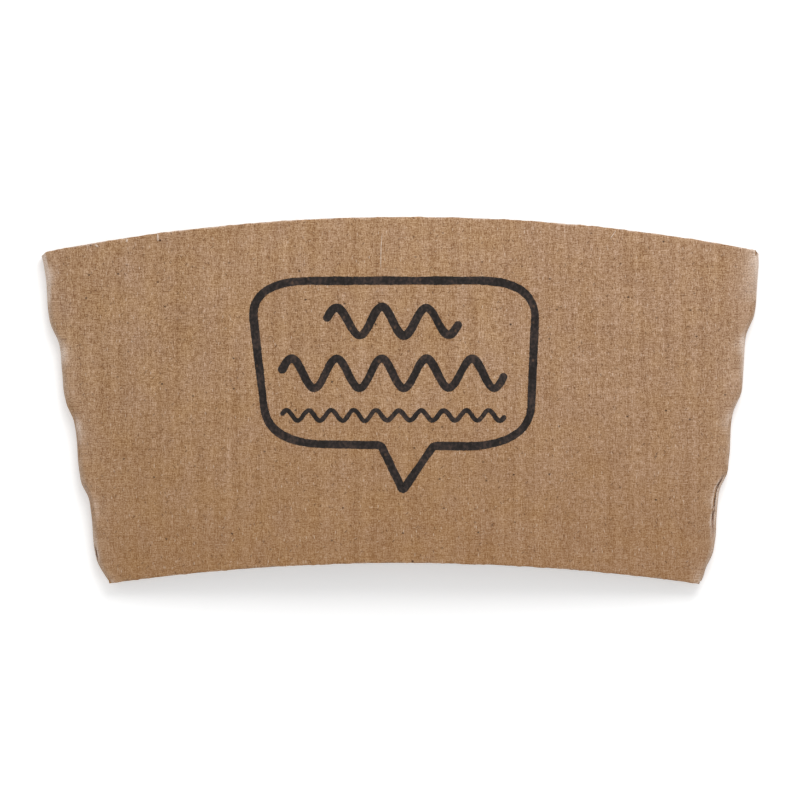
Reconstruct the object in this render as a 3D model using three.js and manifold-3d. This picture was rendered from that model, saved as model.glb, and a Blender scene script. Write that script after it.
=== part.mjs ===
// A corrugated sleeve for a takeaway cup, folded flat and lying on its back.
// Millimetres. +X runs to the right across the printed face, +Y runs to the wide
// curved edge, and +Z points up out of the printed face.

import * as THREE from "three";
import { mergeVertices } from "three/addons/utils/BufferGeometryUtils.js";
import Module from "manifold-3d";

const wasm = await Module();
wasm.setup();

// Outline of the front panel, measured flat
const MIDDLE_WIDTH = 117.6; // crease to crease, halfway up
const MIDDLE_HEIGHT = 60.0; // edge to edge, on the centre line
const WIDE_EDGE_RADIUS = 334.4;
const NARROW_EDGE_RADIUS = 354.0;
const WIDE_EDGE_OFFSET = 0.5; // the wide edge's centre lies this far right of the middle
const LEFT_CREASE_TILT = 11.0; // degrees between a crease and the flutes
const RIGHT_CREASE_TILT = 9.85;
const EDGE_SPANS = 18; // straight spans that stand in for one curved edge

// Board: a flat outer liner with a wavy sheet glued to its inner side
const LINER = 0.3;
const FLUTING = 0.2;
const BOARD = 1.5; // liner and flutes together, where nothing is crushed
const WASHBOARD = 0.05; // the liner sinks this much between two flutes
const FLUTE_PITCH = 3.39;
const GLUE_SINK = 0.04; // the glued tops of the flutes bite this far into the liner
const GLUE_BAND = 0.5; // width of the band that holds each flute's top to the liner
const FLUTE_SPANS = 6; // straight spans in one wave

// Creases, where the flutes are crushed and the board turns back on itself
const CRUSHED_BOARD = 0.7;
const PLY_GAP = 0.2; // between front and back where they lie closest
const CREASE_INSET = 2.0; // crushed strip, from the crease to the first sound flute
const CREASE_TUCK = 0.9; // the strip runs on this far inside the sound board
const CREASE_RELIEF = 0.08; // the crushed strip lies this much below the liner's face
const NOSE_REACH = 1.1; // from the outermost edge of the turn to where it is flat again
const NOSE_SPANS = 4;
const DRIFT_LENGTH = 13.6; // a crease follows one flute this far, then jumps to the next
const DRIFT = 0.85; // sideways reach of one such jump
const JUMP_SHARE = 0.28; // share of the drift's length that the jump takes
const LEFT_FIRST_JUMP = 11.5; // one jump starts at this height above the middle
const RIGHT_FIRST_JUMP = 13.0;
const CORNER_WEAR = 0.6; // the ends of a crease are rubbed in by this much
const CORNER_REACH = 3.0; // and this far along it
const CREASE_STATIONS = 32;

// A crack in the liner, along the lower end of the right crease
const CRACK_LENGTH = 9.5;
const CRACK_WIDTH = 0.34;
const CRACK_INSET = 0.75; // from the straight crease line to the crack
const CRACK_MIDDLE = -22.5; // height of the crack's middle

// Glued seam, down the middle of the back
const LAP_WIDTH = 12.0;
const LAP_SINK = 0.05; // the flutes press this far into the glued liner

// The folds spring a little, which lifts the middle of the front off the back
const SPRING = 6.5;

// Print: ink films on the front
const INK = 0.08;
const INK_CLEARANCE = 0.05;
const PEN_WIDTH = 1.4;
const FINE_PEN_WIDTH = 0.8; // for the lowest row of waves
const PEN_STATION = 2.1; // longest distance between two stations along the balloon's line
const BALLOON_WIDTH = 50.0; // between the sharp corners of its top
const BALLOON_HEIGHT = 28.6;
const BALLOON_LEFT_LEAN = 3.2; // each side comes in by this much from top to bottom
const BALLOON_RIGHT_LEAN = 1.3;
const BALLOON_CORNER_RISE = 6.8; // how far along a side the rounding of its corners reaches
const BALLOON_CORNER_RUN = 11.0; // and how far along its top or bottom
const BALLOON_X = -1.5; // centre of the balloon's top
const BALLOON_Y = 4.6;
const TAIL_WIDTH = 9.2;
const TAIL_LENGTH = 8.8;
const TAIL_X = 0.7; // middle of the tail's root
const TAIL_TIP_X = -0.1;
const TAIL_ROUNDING = 1.2;
const TOP_ROW_WAVES = 3;
const MIDDLE_ROW_WAVES = 5;
const LOWEST_ROW_WAVES = 10;
const WAVE_LENGTH = 7.8;
const WAVE_HEIGHT = 4.8;
const FINE_WAVE_LENGTH = 3.9;
const FINE_WAVE_HEIGHT = 1.8;
const TOP_ROW_Y = 11.9;
const MIDDLE_ROW_Y = 2.9;
const LOWEST_ROW_Y = -4.4;
const WAVE_STATIONS = 6; // stations in one wave of a row

// Places worked out from the sizes
const STACK = 2 * BOARD + PLY_GAP; // height of the printed face over the table, at a crease
const SLAB_LENGTH = 2 * MIDDLE_HEIGHT;
const TURN = STACK - 2 * CREASE_RELIEF; // outer height of the folded turn
const STRIP_REACH = CREASE_INSET + CREASE_TUCK;

const kraft = new THREE.MeshStandardMaterial({ color: 0xa58264, roughness: 0.95, metalness: 0 });
const ink = new THREE.MeshStandardMaterial({ color: 0x2c2421, roughness: 0.85, metalness: 0 });

// Solids

function toSolid(geometry) {
  const bare = new THREE.BufferGeometry();
  bare.setAttribute("position", geometry.getAttribute("position"));
  bare.setIndex(geometry.getIndex());
  const merged = mergeVertices(bare, 1e-4);
  return new wasm.Manifold(
    new wasm.Mesh({
      numProp: 3,
      vertProperties: new Float32Array(merged.getAttribute("position").array),
      triVerts: new Uint32Array(merged.getIndex().array),
    }),
  );
}

function toGeometry(solid) {
  const mesh = solid.getMesh();
  const geometry = new THREE.BufferGeometry();
  geometry.setAttribute("position", new THREE.BufferAttribute(mesh.vertProperties, 3));
  geometry.setIndex(new THREE.BufferAttribute(mesh.triVerts, 1));
  return geometry;
}

// The same solid with each corner raised by what the rule gives for its place.
function raised(solid, rise) {
  const geometry = toGeometry(solid);
  const position = geometry.getAttribute("position");
  for (let i = 0; i < position.count; i += 1) {
    const up = rise(position.getX(i), position.getY(i), position.getZ(i));
    position.setZ(i, position.getZ(i) + up);
  }
  return toSolid(geometry);
}

// A closed skin over rings of equally many corners. Rings run along the body, and
// it is closed by two caps, or by its own first ring when it is a loop.
function loft(rings, loop = false) {
  const around = rings[0].length;
  const corners = rings.flat().flatMap((p) => [p.x, p.y, p.z]);
  const faces = [];
  const last = loop ? rings.length : rings.length - 1;
  for (let i = 0; i < last; i += 1) {
    const here = i * around;
    const next = ((i + 1) % rings.length) * around;
    for (let j = 0; j < around; j += 1) {
      const k = (j + 1) % around;
      faces.push(here + j, next + k, next + j);
      faces.push(here + j, here + k, next + k);
    }
  }
  const geometry = new THREE.BufferGeometry();
  geometry.setAttribute("position", new THREE.Float32BufferAttribute(corners, 3));
  geometry.setIndex(faces);
  return geometry;
}

function capped(rings, section) {
  const geometry = loft(rings);
  const cap = THREE.ShapeUtils.triangulateShape(section, []);
  const end = (rings.length - 1) * rings[0].length;
  const faces = Array.from(geometry.getIndex().array);
  const clockwise = THREE.ShapeUtils.isClockWise(section);
  for (const triangle of cap) {
    const [a, b, c] = clockwise ? triangle : triangle.toReversed();
    faces.push(a, b, c);
    faces.push(end + c, end + b, end + a);
  }
  geometry.setIndex(faces);
  return geometry;
}

// Outline

function wideEdgeY(x) {
  const across = x - WIDE_EDGE_OFFSET;
  return MIDDLE_HEIGHT / 2 - WIDE_EDGE_RADIUS + Math.sqrt(WIDE_EDGE_RADIUS ** 2 - across ** 2);
}

function narrowEdgeY(x) {
  return -MIDDLE_HEIGHT / 2 - NARROW_EDGE_RADIUS + Math.sqrt(NARROW_EDGE_RADIUS ** 2 - x ** 2);
}

const tangent = (degrees) => Math.tan(THREE.MathUtils.degToRad(degrees));

// side is -1 at the left crease and +1 at the right one.
function creaseX(side, y) {
  const tilt = side < 0 ? LEFT_CREASE_TILT : RIGHT_CREASE_TILT;
  return side * (MIDDLE_WIDTH / 2 + y * tangent(tilt));
}

// How far the turned edge has come in from the straight crease at this height: it
// follows one flute outwards, then jumps in to the next, and is worn at its ends.
function creaseDrift(side, y, toEnd) {
  const first = side < 0 ? LEFT_FIRST_JUMP : RIGHT_FIRST_JUMP;
  const phase = THREE.MathUtils.euclideanModulo((first - y) / DRIFT_LENGTH, 1);
  const jumping = phase < JUMP_SHARE;
  const way = jumping ? phase / JUMP_SHARE : (1 - phase) / (1 - JUMP_SHARE);
  const worn = CORNER_WEAR * Math.max(0, 1 - toEnd / CORNER_REACH) ** 2;
  return DRIFT * (THREE.MathUtils.smoothstep(way, 0, 1) - 0.5) + worn;
}

// How far the front has sprung up at this place.
function frontLift(x, y) {
  const left = creaseX(-1, y);
  const right = creaseX(1, y);
  const half = (right - left) / 2;
  const across = (x - left - half) / half;
  return Math.max(0, SPRING * (half / (MIDDLE_WIDTH / 2)) * (1 - across ** 2));
}

// The right half of the back rises to lie on the left half where the two are glued.
function flapLift(x, y) {
  const fold = creaseX(1, y);
  return (BOARD - LAP_SINK) * ((fold - x) / fold);
}

// A prism over the part of the sleeve between two upright sides, left(y) and right(y).
function panelPrism(left, right) {
  const shape = new THREE.Shape();
  const top = [sideMeets(left, wideEdgeY), sideMeets(right, wideEdgeY)];
  const bottom = [sideMeets(left, narrowEdgeY), sideMeets(right, narrowEdgeY)];
  shape.moveTo(bottom[0], narrowEdgeY(bottom[0]));
  for (let i = 1; i <= EDGE_SPANS; i += 1) {
    const x = THREE.MathUtils.lerp(bottom[0], bottom[1], i / EDGE_SPANS);
    shape.lineTo(x, narrowEdgeY(x));
  }
  for (let i = 0; i <= EDGE_SPANS; i += 1) {
    const x = THREE.MathUtils.lerp(top[1], top[0], i / EDGE_SPANS);
    shape.lineTo(x, wideEdgeY(x));
  }
  const prism = new THREE.ExtrudeGeometry(shape, { depth: 2 * STACK, bevelEnabled: false });
  prism.translate(0, 0, -STACK / 2);
  return toSolid(prism);
}

// Where a side line crosses a curved edge.
function sideMeets(side, edge) {
  let x = side(0);
  for (let i = 0; i < 12; i += 1) {
    x = side(edge(x));
  }
  return x;
}

// Board

// Height of the wavy sheet's middle under the printed face, and its half thickness
// measured upright, at a share of one wave. It is glued to the liner at share 0.
function flutingAt(share) {
  const top = LINER + FLUTING / 2 - GLUE_SINK;
  const swing = (BOARD - FLUTING / 2 - top) / 2;
  const angle = 2 * Math.PI * share;
  const slope = (swing * Math.sin(angle) * 2 * Math.PI) / FLUTE_PITCH;
  return {
    depth: top + swing * (1 - Math.cos(angle)),
    half: (FLUTING / 2) * Math.hypot(1, slope),
  };
}

// Cross-section of the board from one flute to another, with its face at height 0
// and one tunnel per flute. A soft face sinks a little between the flutes.
function boardSection(firstFlute, lastFlute, softFace) {
  const shape = new THREE.Shape();
  const spans = (lastFlute - firstFlute) * FLUTE_SPANS;
  const at = (i) => (firstFlute + i / FLUTE_SPANS) * FLUTE_PITCH;
  shape.moveTo(at(0), 0);
  for (let i = 0; i <= spans; i += 1) {
    const { depth, half } = flutingAt(i / FLUTE_SPANS);
    shape.lineTo(at(i), -depth - half);
  }
  shape.lineTo(at(spans), 0);
  for (let flute = lastFlute; softFace && flute > firstFlute; flute -= 1) {
    shape.lineTo((flute - 0.5) * FLUTE_PITCH, -WASHBOARD);
    shape.lineTo((flute - 1) * FLUTE_PITCH, 0);
  }
  for (let flute = firstFlute; flute < lastFlute; flute += 1) {
    shape.holes.push(tunnel(flute * FLUTE_PITCH));
  }
  return shape;
}

function tunnel(start) {
  const path = new THREE.Path();
  path.moveTo(start + GLUE_BAND / 2, -LINER);
  path.lineTo(start + FLUTE_PITCH / 2, -LINER - WASHBOARD);
  path.lineTo(start + FLUTE_PITCH - GLUE_BAND / 2, -LINER);
  for (let i = FLUTE_SPANS - 1; i > 0; i -= 1) {
    const { depth, half } = flutingAt(i / FLUTE_SPANS);
    path.lineTo(start + (i / FLUTE_SPANS) * FLUTE_PITCH, half - depth);
  }
  path.closePath();
  return path;
}

// Board over the given stretch of the unfolded blank, face up at the printed face's height.
function boardSlab(fromX, toX, softFace) {
  const first = Math.floor(fromX / FLUTE_PITCH);
  const last = Math.ceil(toX / FLUTE_PITCH);
  const section = boardSection(first, last, softFace);
  const slab = new THREE.ExtrudeGeometry(section, { depth: SLAB_LENGTH, bevelEnabled: false });
  slab.rotateX(Math.PI / 2);
  slab.translate(0, SLAB_LENGTH / 2, STACK);
  return slab;
}

// Turns a slab half a turn about a crease, as the blank is folded.
function foldedOver(slab, side) {
  const tilt = side < 0 ? LEFT_CREASE_TILT : RIGHT_CREASE_TILT;
  const axis = new THREE.Vector3(side * tangent(tilt), 1, 0).normalize();
  const pivot = new THREE.Vector3(creaseX(side, 0), 0, STACK / 2);
  slab.translate(-pivot.x, -pivot.y, -pivot.z);
  slab.applyMatrix4(new THREE.Matrix4().makeRotationAxis(axis, Math.PI));
  slab.translate(pivot.x, pivot.y, pivot.z);
  return slab;
}

// Sleeve

function frontPanel() {
  const left = (y) => creaseX(-1, y) + CREASE_INSET;
  const right = (y) => creaseX(1, y) - CREASE_INSET;
  const slab = toSolid(boardSlab(-MIDDLE_WIDTH, MIDDLE_WIDTH, true));
  return raised(slab.intersect(panelPrism(left, right)), frontLift);
}

// The outer half of the back, flat on the table, from the left crease past the middle.
function outerFlap() {
  const left = (y) => creaseX(-1, y) + CREASE_INSET;
  const right = () => LAP_WIDTH / 2;
  const slab = foldedOver(boardSlab(-2 * MIDDLE_WIDTH, MIDDLE_WIDTH, false), -1);
  return toSolid(slab).intersect(panelPrism(left, right));
}

// The inner half of the back, from the right crease to its glued end on the outer half.
function innerFlap() {
  const left = () => -LAP_WIDTH / 2;
  const right = (y) => creaseX(1, y) - CREASE_INSET;
  const slab = foldedOver(boardSlab(-MIDDLE_WIDTH, 2 * MIDDLE_WIDTH, false), 1);
  return raised(toSolid(slab).intersect(panelPrism(left, right)), flapLift);
}

// Section of the crushed strip: a narrow U on its side, as reach inwards and height.
function turnSection() {
  const points = [];
  const arc = (radius, reach, from, spans) => {
    for (let i = 0; i <= spans; i += 1) {
      const angle = from * (Math.PI / 2 - (Math.PI * i) / spans);
      points.push(
        new THREE.Vector2(
          NOSE_REACH - reach * Math.cos(angle),
          STACK / 2 + radius * Math.sin(angle),
        ),
      );
    }
  };
  const inside = TURN / 2 - CRUSHED_BOARD;
  points.push(new THREE.Vector2(STRIP_REACH, STACK / 2 + TURN / 2));
  arc(TURN / 2, NOSE_REACH, 1, NOSE_SPANS);
  points.push(new THREE.Vector2(STRIP_REACH, STACK / 2 - TURN / 2));
  points.push(new THREE.Vector2(STRIP_REACH, STACK / 2 - inside));
  arc(inside, NOSE_REACH - CRUSHED_BOARD, -1, NOSE_SPANS / 2);
  points.push(new THREE.Vector2(STRIP_REACH, STACK / 2 + inside));
  return points;
}

// The turned edge at one crease, from the narrow edge to the wide one.
function creaseStrip(side) {
  const section = turnSection();
  const inside = TURN / 2 - CRUSHED_BOARD;
  const rings = [];
  const low = narrowEdgeY(sideMeets((y) => creaseX(side, y), narrowEdgeY));
  const high = wideEdgeY(sideMeets((y) => creaseX(side, y), wideEdgeY));
  for (let i = 0; i <= CREASE_STATIONS; i += 1) {
    const way = i / CREASE_STATIONS;
    const height = THREE.MathUtils.lerp(low, high, way);
    const drift = creaseDrift(side, height, Math.min(height - low, high - height));
    const ring = section.map((point) => {
      const reach = point.x + drift * (1 - point.x / STRIP_REACH);
      const x = creaseX(side, height) - side * reach;
      const y = THREE.MathUtils.lerp(narrowEdgeY(x), wideEdgeY(x), way);
      const upper = THREE.MathUtils.smoothstep(point.y, STACK / 2 - inside, STACK / 2 + inside);
      const lower = side > 0 ? (1 - upper) * flapLift(x, y) : 0;
      return new THREE.Vector3(x, y, point.y + upper * frontLift(x, y) + Math.max(0, lower));
    });
    rings.push(side > 0 ? ring : ring.reverse());
  }
  const cap = side > 0 ? section : [...section].reverse();
  return toSolid(capped(rings, cap));
}

// The crack, a narrow lens through the upper ply of the right crease.
function creaseCrack() {
  const lens = new THREE.Shape();
  lens.moveTo(0, -CRACK_LENGTH / 2);
  lens.quadraticCurveTo(CRACK_WIDTH, 0, 0, CRACK_LENGTH / 2);
  lens.quadraticCurveTo(-CRACK_WIDTH, 0, 0, -CRACK_LENGTH / 2);
  const cut = new THREE.ExtrudeGeometry(lens, {
    depth: STACK,
    bevelEnabled: false,
    curveSegments: 4,
  });
  cut.rotateZ(-THREE.MathUtils.degToRad(RIGHT_CREASE_TILT));
  cut.translate(creaseX(1, CRACK_MIDDLE) - CRACK_INSET, CRACK_MIDDLE, STACK / 2 + PLY_GAP);
  return toSolid(cut);
}

function sleeve() {
  const rightStrip = creaseStrip(1).subtract(creaseCrack());
  const folded = frontPanel().add(outerFlap()).add(innerFlap()).add(creaseStrip(-1)).add(rightStrip);
  return new THREE.Mesh(toGeometry(folded), kraft);
}

// Print

// A film of ink along a line, lying on the sprung front.
function penFilm(points, width, loop) {
  const count = points.length;
  const rings = points.map((point, i) => {
    const before = points[loop ? (i + count - 1) % count : Math.max(0, i - 1)];
    const after = points[loop ? (i + 1) % count : Math.min(count - 1, i + 1)];
    const along = after.clone().sub(before).normalize();
    const offset = new THREE.Vector2(-along.y, along.x).multiplyScalar(width / 2);
    const corner = (side, height) => {
      const x = point.x + side * offset.x;
      const y = point.y + side * offset.y;
      return new THREE.Vector3(x, y, STACK + INK_CLEARANCE + height + frontLift(x, y));
    };
    return [corner(1, INK), corner(-1, INK), corner(-1, 0), corner(1, 0)];
  });
  const square = [new THREE.Vector2(0, 1), new THREE.Vector2(1, 1)];
  square.push(new THREE.Vector2(1, 0), new THREE.Vector2(0, 0));
  return new THREE.Mesh(loop ? loft(rings, true) : capped(rings, square), ink);
}

// The place on the way from one corner to another, at a distance from the first.
function towards(from, to, distance) {
  return from.clone().add(to.clone().sub(from).setLength(distance));
}

// Stations along a closed line, each of its corners rounded to a reach before and after it.
function roundedLine(corners) {
  const points = [];
  corners.forEach((corner, i) => {
    const last = corners.at(i - 1);
    const next = corners[(i + 1) % corners.length];
    const end = towards(corner.at, next.at, corner.after);
    const turn = new THREE.QuadraticBezierCurve(towards(corner.at, last.at, corner.before), corner.at, end);
    const leg = new THREE.LineCurve(end, towards(next.at, corner.at, next.before));
    points.push(...turn.getPoints(Math.ceil(turn.getLength() / PEN_STATION)));
    points.push(...leg.getPoints(Math.ceil(leg.getLength() / PEN_STATION)).slice(1, -1));
  });
  return points;
}

// A plain speech balloon, drawn in one pen line with its tail at the bottom.
function printedBalloon() {
  const left = BALLOON_X - BALLOON_WIDTH / 2;
  const right = BALLOON_X + BALLOON_WIDTH / 2;
  const top = BALLOON_Y + BALLOON_HEIGHT / 2;
  const bottom = BALLOON_Y - BALLOON_HEIGHT / 2;
  const corner = (x, y, before, after) => ({ at: new THREE.Vector2(x, y), before, after });
  const tailCorner = (x, y) => corner(x, y, TAIL_ROUNDING, TAIL_ROUNDING);
  const line = roundedLine([
    corner(left, top, BALLOON_CORNER_RUN, BALLOON_CORNER_RISE),
    corner(left + BALLOON_LEFT_LEAN, bottom, BALLOON_CORNER_RISE, BALLOON_CORNER_RUN),
    tailCorner(TAIL_X - TAIL_WIDTH / 2, bottom),
    tailCorner(TAIL_TIP_X, bottom - TAIL_LENGTH),
    tailCorner(TAIL_X + TAIL_WIDTH / 2, bottom),
    corner(right - BALLOON_RIGHT_LEAN, bottom, BALLOON_CORNER_RUN, BALLOON_CORNER_RISE),
    corner(right, top, BALLOON_CORNER_RISE, BALLOON_CORNER_RUN),
  ]);
  return penFilm(line, PEN_WIDTH, true);
}

// One row of plain waves in the balloon.
function printedWaves(waves, length, height, y, width) {
  const points = [];
  for (let i = 0; i <= waves * WAVE_STATIONS; i += 1) {
    const way = i / WAVE_STATIONS;
    const swing = (height / 2) * Math.sin(2 * Math.PI * way);
    points.push(new THREE.Vector2(BALLOON_X + length * (way - waves / 2), y + swing));
  }
  return penFilm(points, width, false);
}

// Assembly

function named(mesh, name) {
  mesh.name = name;
  return mesh;
}

const group = new THREE.Group();
group.add(named(sleeve(), "sleeve"));
group.add(named(printedBalloon(), "printed_balloon"));
const topRow = printedWaves(TOP_ROW_WAVES, WAVE_LENGTH, WAVE_HEIGHT, TOP_ROW_Y, PEN_WIDTH);
group.add(named(topRow, "printed_wave_1"));
const middleRow = printedWaves(MIDDLE_ROW_WAVES, WAVE_LENGTH, WAVE_HEIGHT, MIDDLE_ROW_Y, PEN_WIDTH);
group.add(named(middleRow, "printed_wave_2"));
const fineSize = [FINE_WAVE_LENGTH, FINE_WAVE_HEIGHT, LOWEST_ROW_Y, FINE_PEN_WIDTH];
group.add(named(printedWaves(LOWEST_ROW_WAVES, ...fineSize), "printed_wave_3"));

// The footprint's middle is the origin, and the back rests at height 0.
const box = new THREE.Box3().setFromObject(group);
const middle = box.getCenter(new THREE.Vector3());
group.position.set(-middle.x, -middle.y, -box.min.z);

export default group;
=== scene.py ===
"""A corrugated cup sleeve lies folded flat on a white floor and is seen from straight above.

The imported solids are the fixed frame. The board is modelled again as what it is, a liner sheet
and a wavy sheet that turn at two crushed creases, and the print as thin films of ink on it.
Lengths are in metres. +X runs right across the printed face, +Y runs to the wide curved edge.
"""

from __future__ import annotations

import logging
import math
from dataclasses import dataclass, replace
from enum import Enum
from typing import Callable, Sequence

import bpy
import numpy as np
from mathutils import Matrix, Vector

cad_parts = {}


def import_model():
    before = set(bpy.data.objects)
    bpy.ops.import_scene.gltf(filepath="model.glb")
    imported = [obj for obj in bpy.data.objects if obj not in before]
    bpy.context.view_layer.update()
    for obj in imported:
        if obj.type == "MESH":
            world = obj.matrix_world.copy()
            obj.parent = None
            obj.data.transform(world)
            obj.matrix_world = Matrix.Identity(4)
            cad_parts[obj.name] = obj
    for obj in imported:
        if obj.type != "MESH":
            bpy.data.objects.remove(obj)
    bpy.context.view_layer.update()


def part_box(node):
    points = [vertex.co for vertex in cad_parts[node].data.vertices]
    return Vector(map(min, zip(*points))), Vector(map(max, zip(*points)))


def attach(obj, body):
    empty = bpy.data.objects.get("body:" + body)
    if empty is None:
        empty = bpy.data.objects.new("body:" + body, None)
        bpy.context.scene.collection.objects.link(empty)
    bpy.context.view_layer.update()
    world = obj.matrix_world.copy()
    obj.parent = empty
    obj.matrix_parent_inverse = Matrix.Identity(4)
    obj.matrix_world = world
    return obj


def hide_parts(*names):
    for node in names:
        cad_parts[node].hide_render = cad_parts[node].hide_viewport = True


log = logging.getLogger("cup_sleeve")

BODY = "root"

# Names of the map and the attribute that meshes carry and finishes read, and the map's unit.
BLANK_MAP = "blank"
RUB = "rub_and_highlight"
MAP_UNIT = 0.1

Array = np.ndarray
Colour = tuple[float, float, float]
Rgb = tuple[int, int, int]
Socket = bpy.types.NodeSocket

WHITE = (1.0, 1.0, 1.0, 1.0)


class Side(Enum):
    """The two creases, as the sign of their X."""

    LEFT = -1
    RIGHT = 1


class Slot(Enum):
    """The record's material slots."""

    BOARD = "kraft_board"
    INK = "dark_ink"


def smoothstep(value: Array | float, low: float, high: float) -> Array:
    """Go smoothly from 0 at low to 1 at high."""
    share = np.clip((np.asarray(value, float) - low) / (high - low), 0.0, 1.0)
    return share * share * (3.0 - 2.0 * share)


def bell(value: Array, reach: Array | float) -> Array:
    """Fall smoothly from 1 at 0, to a third at the reach."""
    return np.exp(-((value / reach) ** 2))


def scaled(share: Array, start: float, rise: float) -> Array:
    """Go in a straight line from a start at 0 up by a rise at 1."""
    return start + rise * share


def from_srgb(red: int, green: int, blue: int) -> Colour:
    """Turn a colour as seen on a screen, 0 to 255, into linear light.

    Args:
        red: Red part.
        green: Green part.
        blue: Blue part.

    Returns:
        The linear colour, 0 to 1.
    """
    parts = [value / 255.0 for value in (red, green, blue)]
    linear = [v / 12.92 if v <= 0.04045 else ((v + 0.055) / 1.055) ** 2.4 for v in parts]
    return linear[0], linear[1], linear[2]


@dataclass(frozen=True)
class SmoothNoise:
    """Seeded noise without grain, between -1 and 1, over a plane.

    Attributes:
        seed: Picks the pattern.
        cell_x: Length of one bump along X.
        cell_y: Length of one bump along Y.
        size: Numbers in the pattern's table, each way.
    """

    seed: int
    cell_x: float
    cell_y: float = 1.0
    size: int = 64

    def other(self, step: int) -> SmoothNoise:
        """Pick another pattern with bumps of the same size."""
        return replace(self, seed=self.seed + step)

    def at(self, x: Array, y: Array) -> Array:
        """Read the noise.

        Args:
            x: Places along X.
            y: Places along Y.

        Returns:
            The noise at each place.
        """
        table = np.random.default_rng(self.seed).uniform(-1.0, 1.0, (self.size, self.size))
        u, v = np.broadcast_arrays(np.asarray(x) / self.cell_x, np.asarray(y) / self.cell_y)
        i, j = np.floor(u).astype(int), np.floor(v).astype(int)
        s, t = smoothstep(u - i, 0.0, 1.0), smoothstep(v - j, 0.0, 1.0)
        i, j, k, m = i % self.size, j % self.size, (i + 1) % self.size, (j + 1) % self.size
        low = table[i, j] * (1 - s) + table[k, j] * s
        high = table[i, m] * (1 - s) + table[k, m] * s
        return low * (1 - t) + high * t

    def along(self, x: Array) -> Array:
        """Read the noise along one line."""
        return self.at(x, 0.0 * x)


@dataclass(frozen=True)
class Board:
    """Single-face corrugated board.

    Attributes:
        liner: Thickness of the flat outer sheet.
        fluting: Thickness of the wavy sheet.
        depth: Liner and flutes together.
        pitch: Length of one flute.
        glue_sink: How far the glued flute tops bite into the liner.
        washboard: How far the liner sinks between two flutes.
        crushed: Share of the flutes' depth that is left beside a crease.
    """

    liner: float = 0.0003
    fluting: float = 0.0002
    depth: float = 0.0015
    pitch: float = 0.00339
    glue_sink: float = 0.00004
    washboard: float = 0.00006
    crushed: float = 0.45

    def wave(self, blank_x: Array) -> tuple[Array, Array]:
        """Give the wavy sheet's section.

        Args:
            blank_x: Places across the flutes, on the flat blank.

        Returns:
            Its middle's depth under the face, and its upright half thickness.
        """
        top = self.liner + self.fluting / 2 - self.glue_sink
        swing = (self.depth - self.fluting / 2 - top) / 2
        angle = 2 * np.pi * blank_x / self.pitch
        slope = swing * np.sin(angle) * 2 * np.pi / self.pitch
        return top + swing * (1 - np.cos(angle)), self.fluting / 2 * np.hypot(1.0, slope)

    def sag(self, blank_x: Array) -> Array:
        """Give how far the liner lies under its flute tops."""
        return self.washboard * (0.5 - 0.5 * np.cos(2 * np.pi * blank_x / self.pitch))


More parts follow.
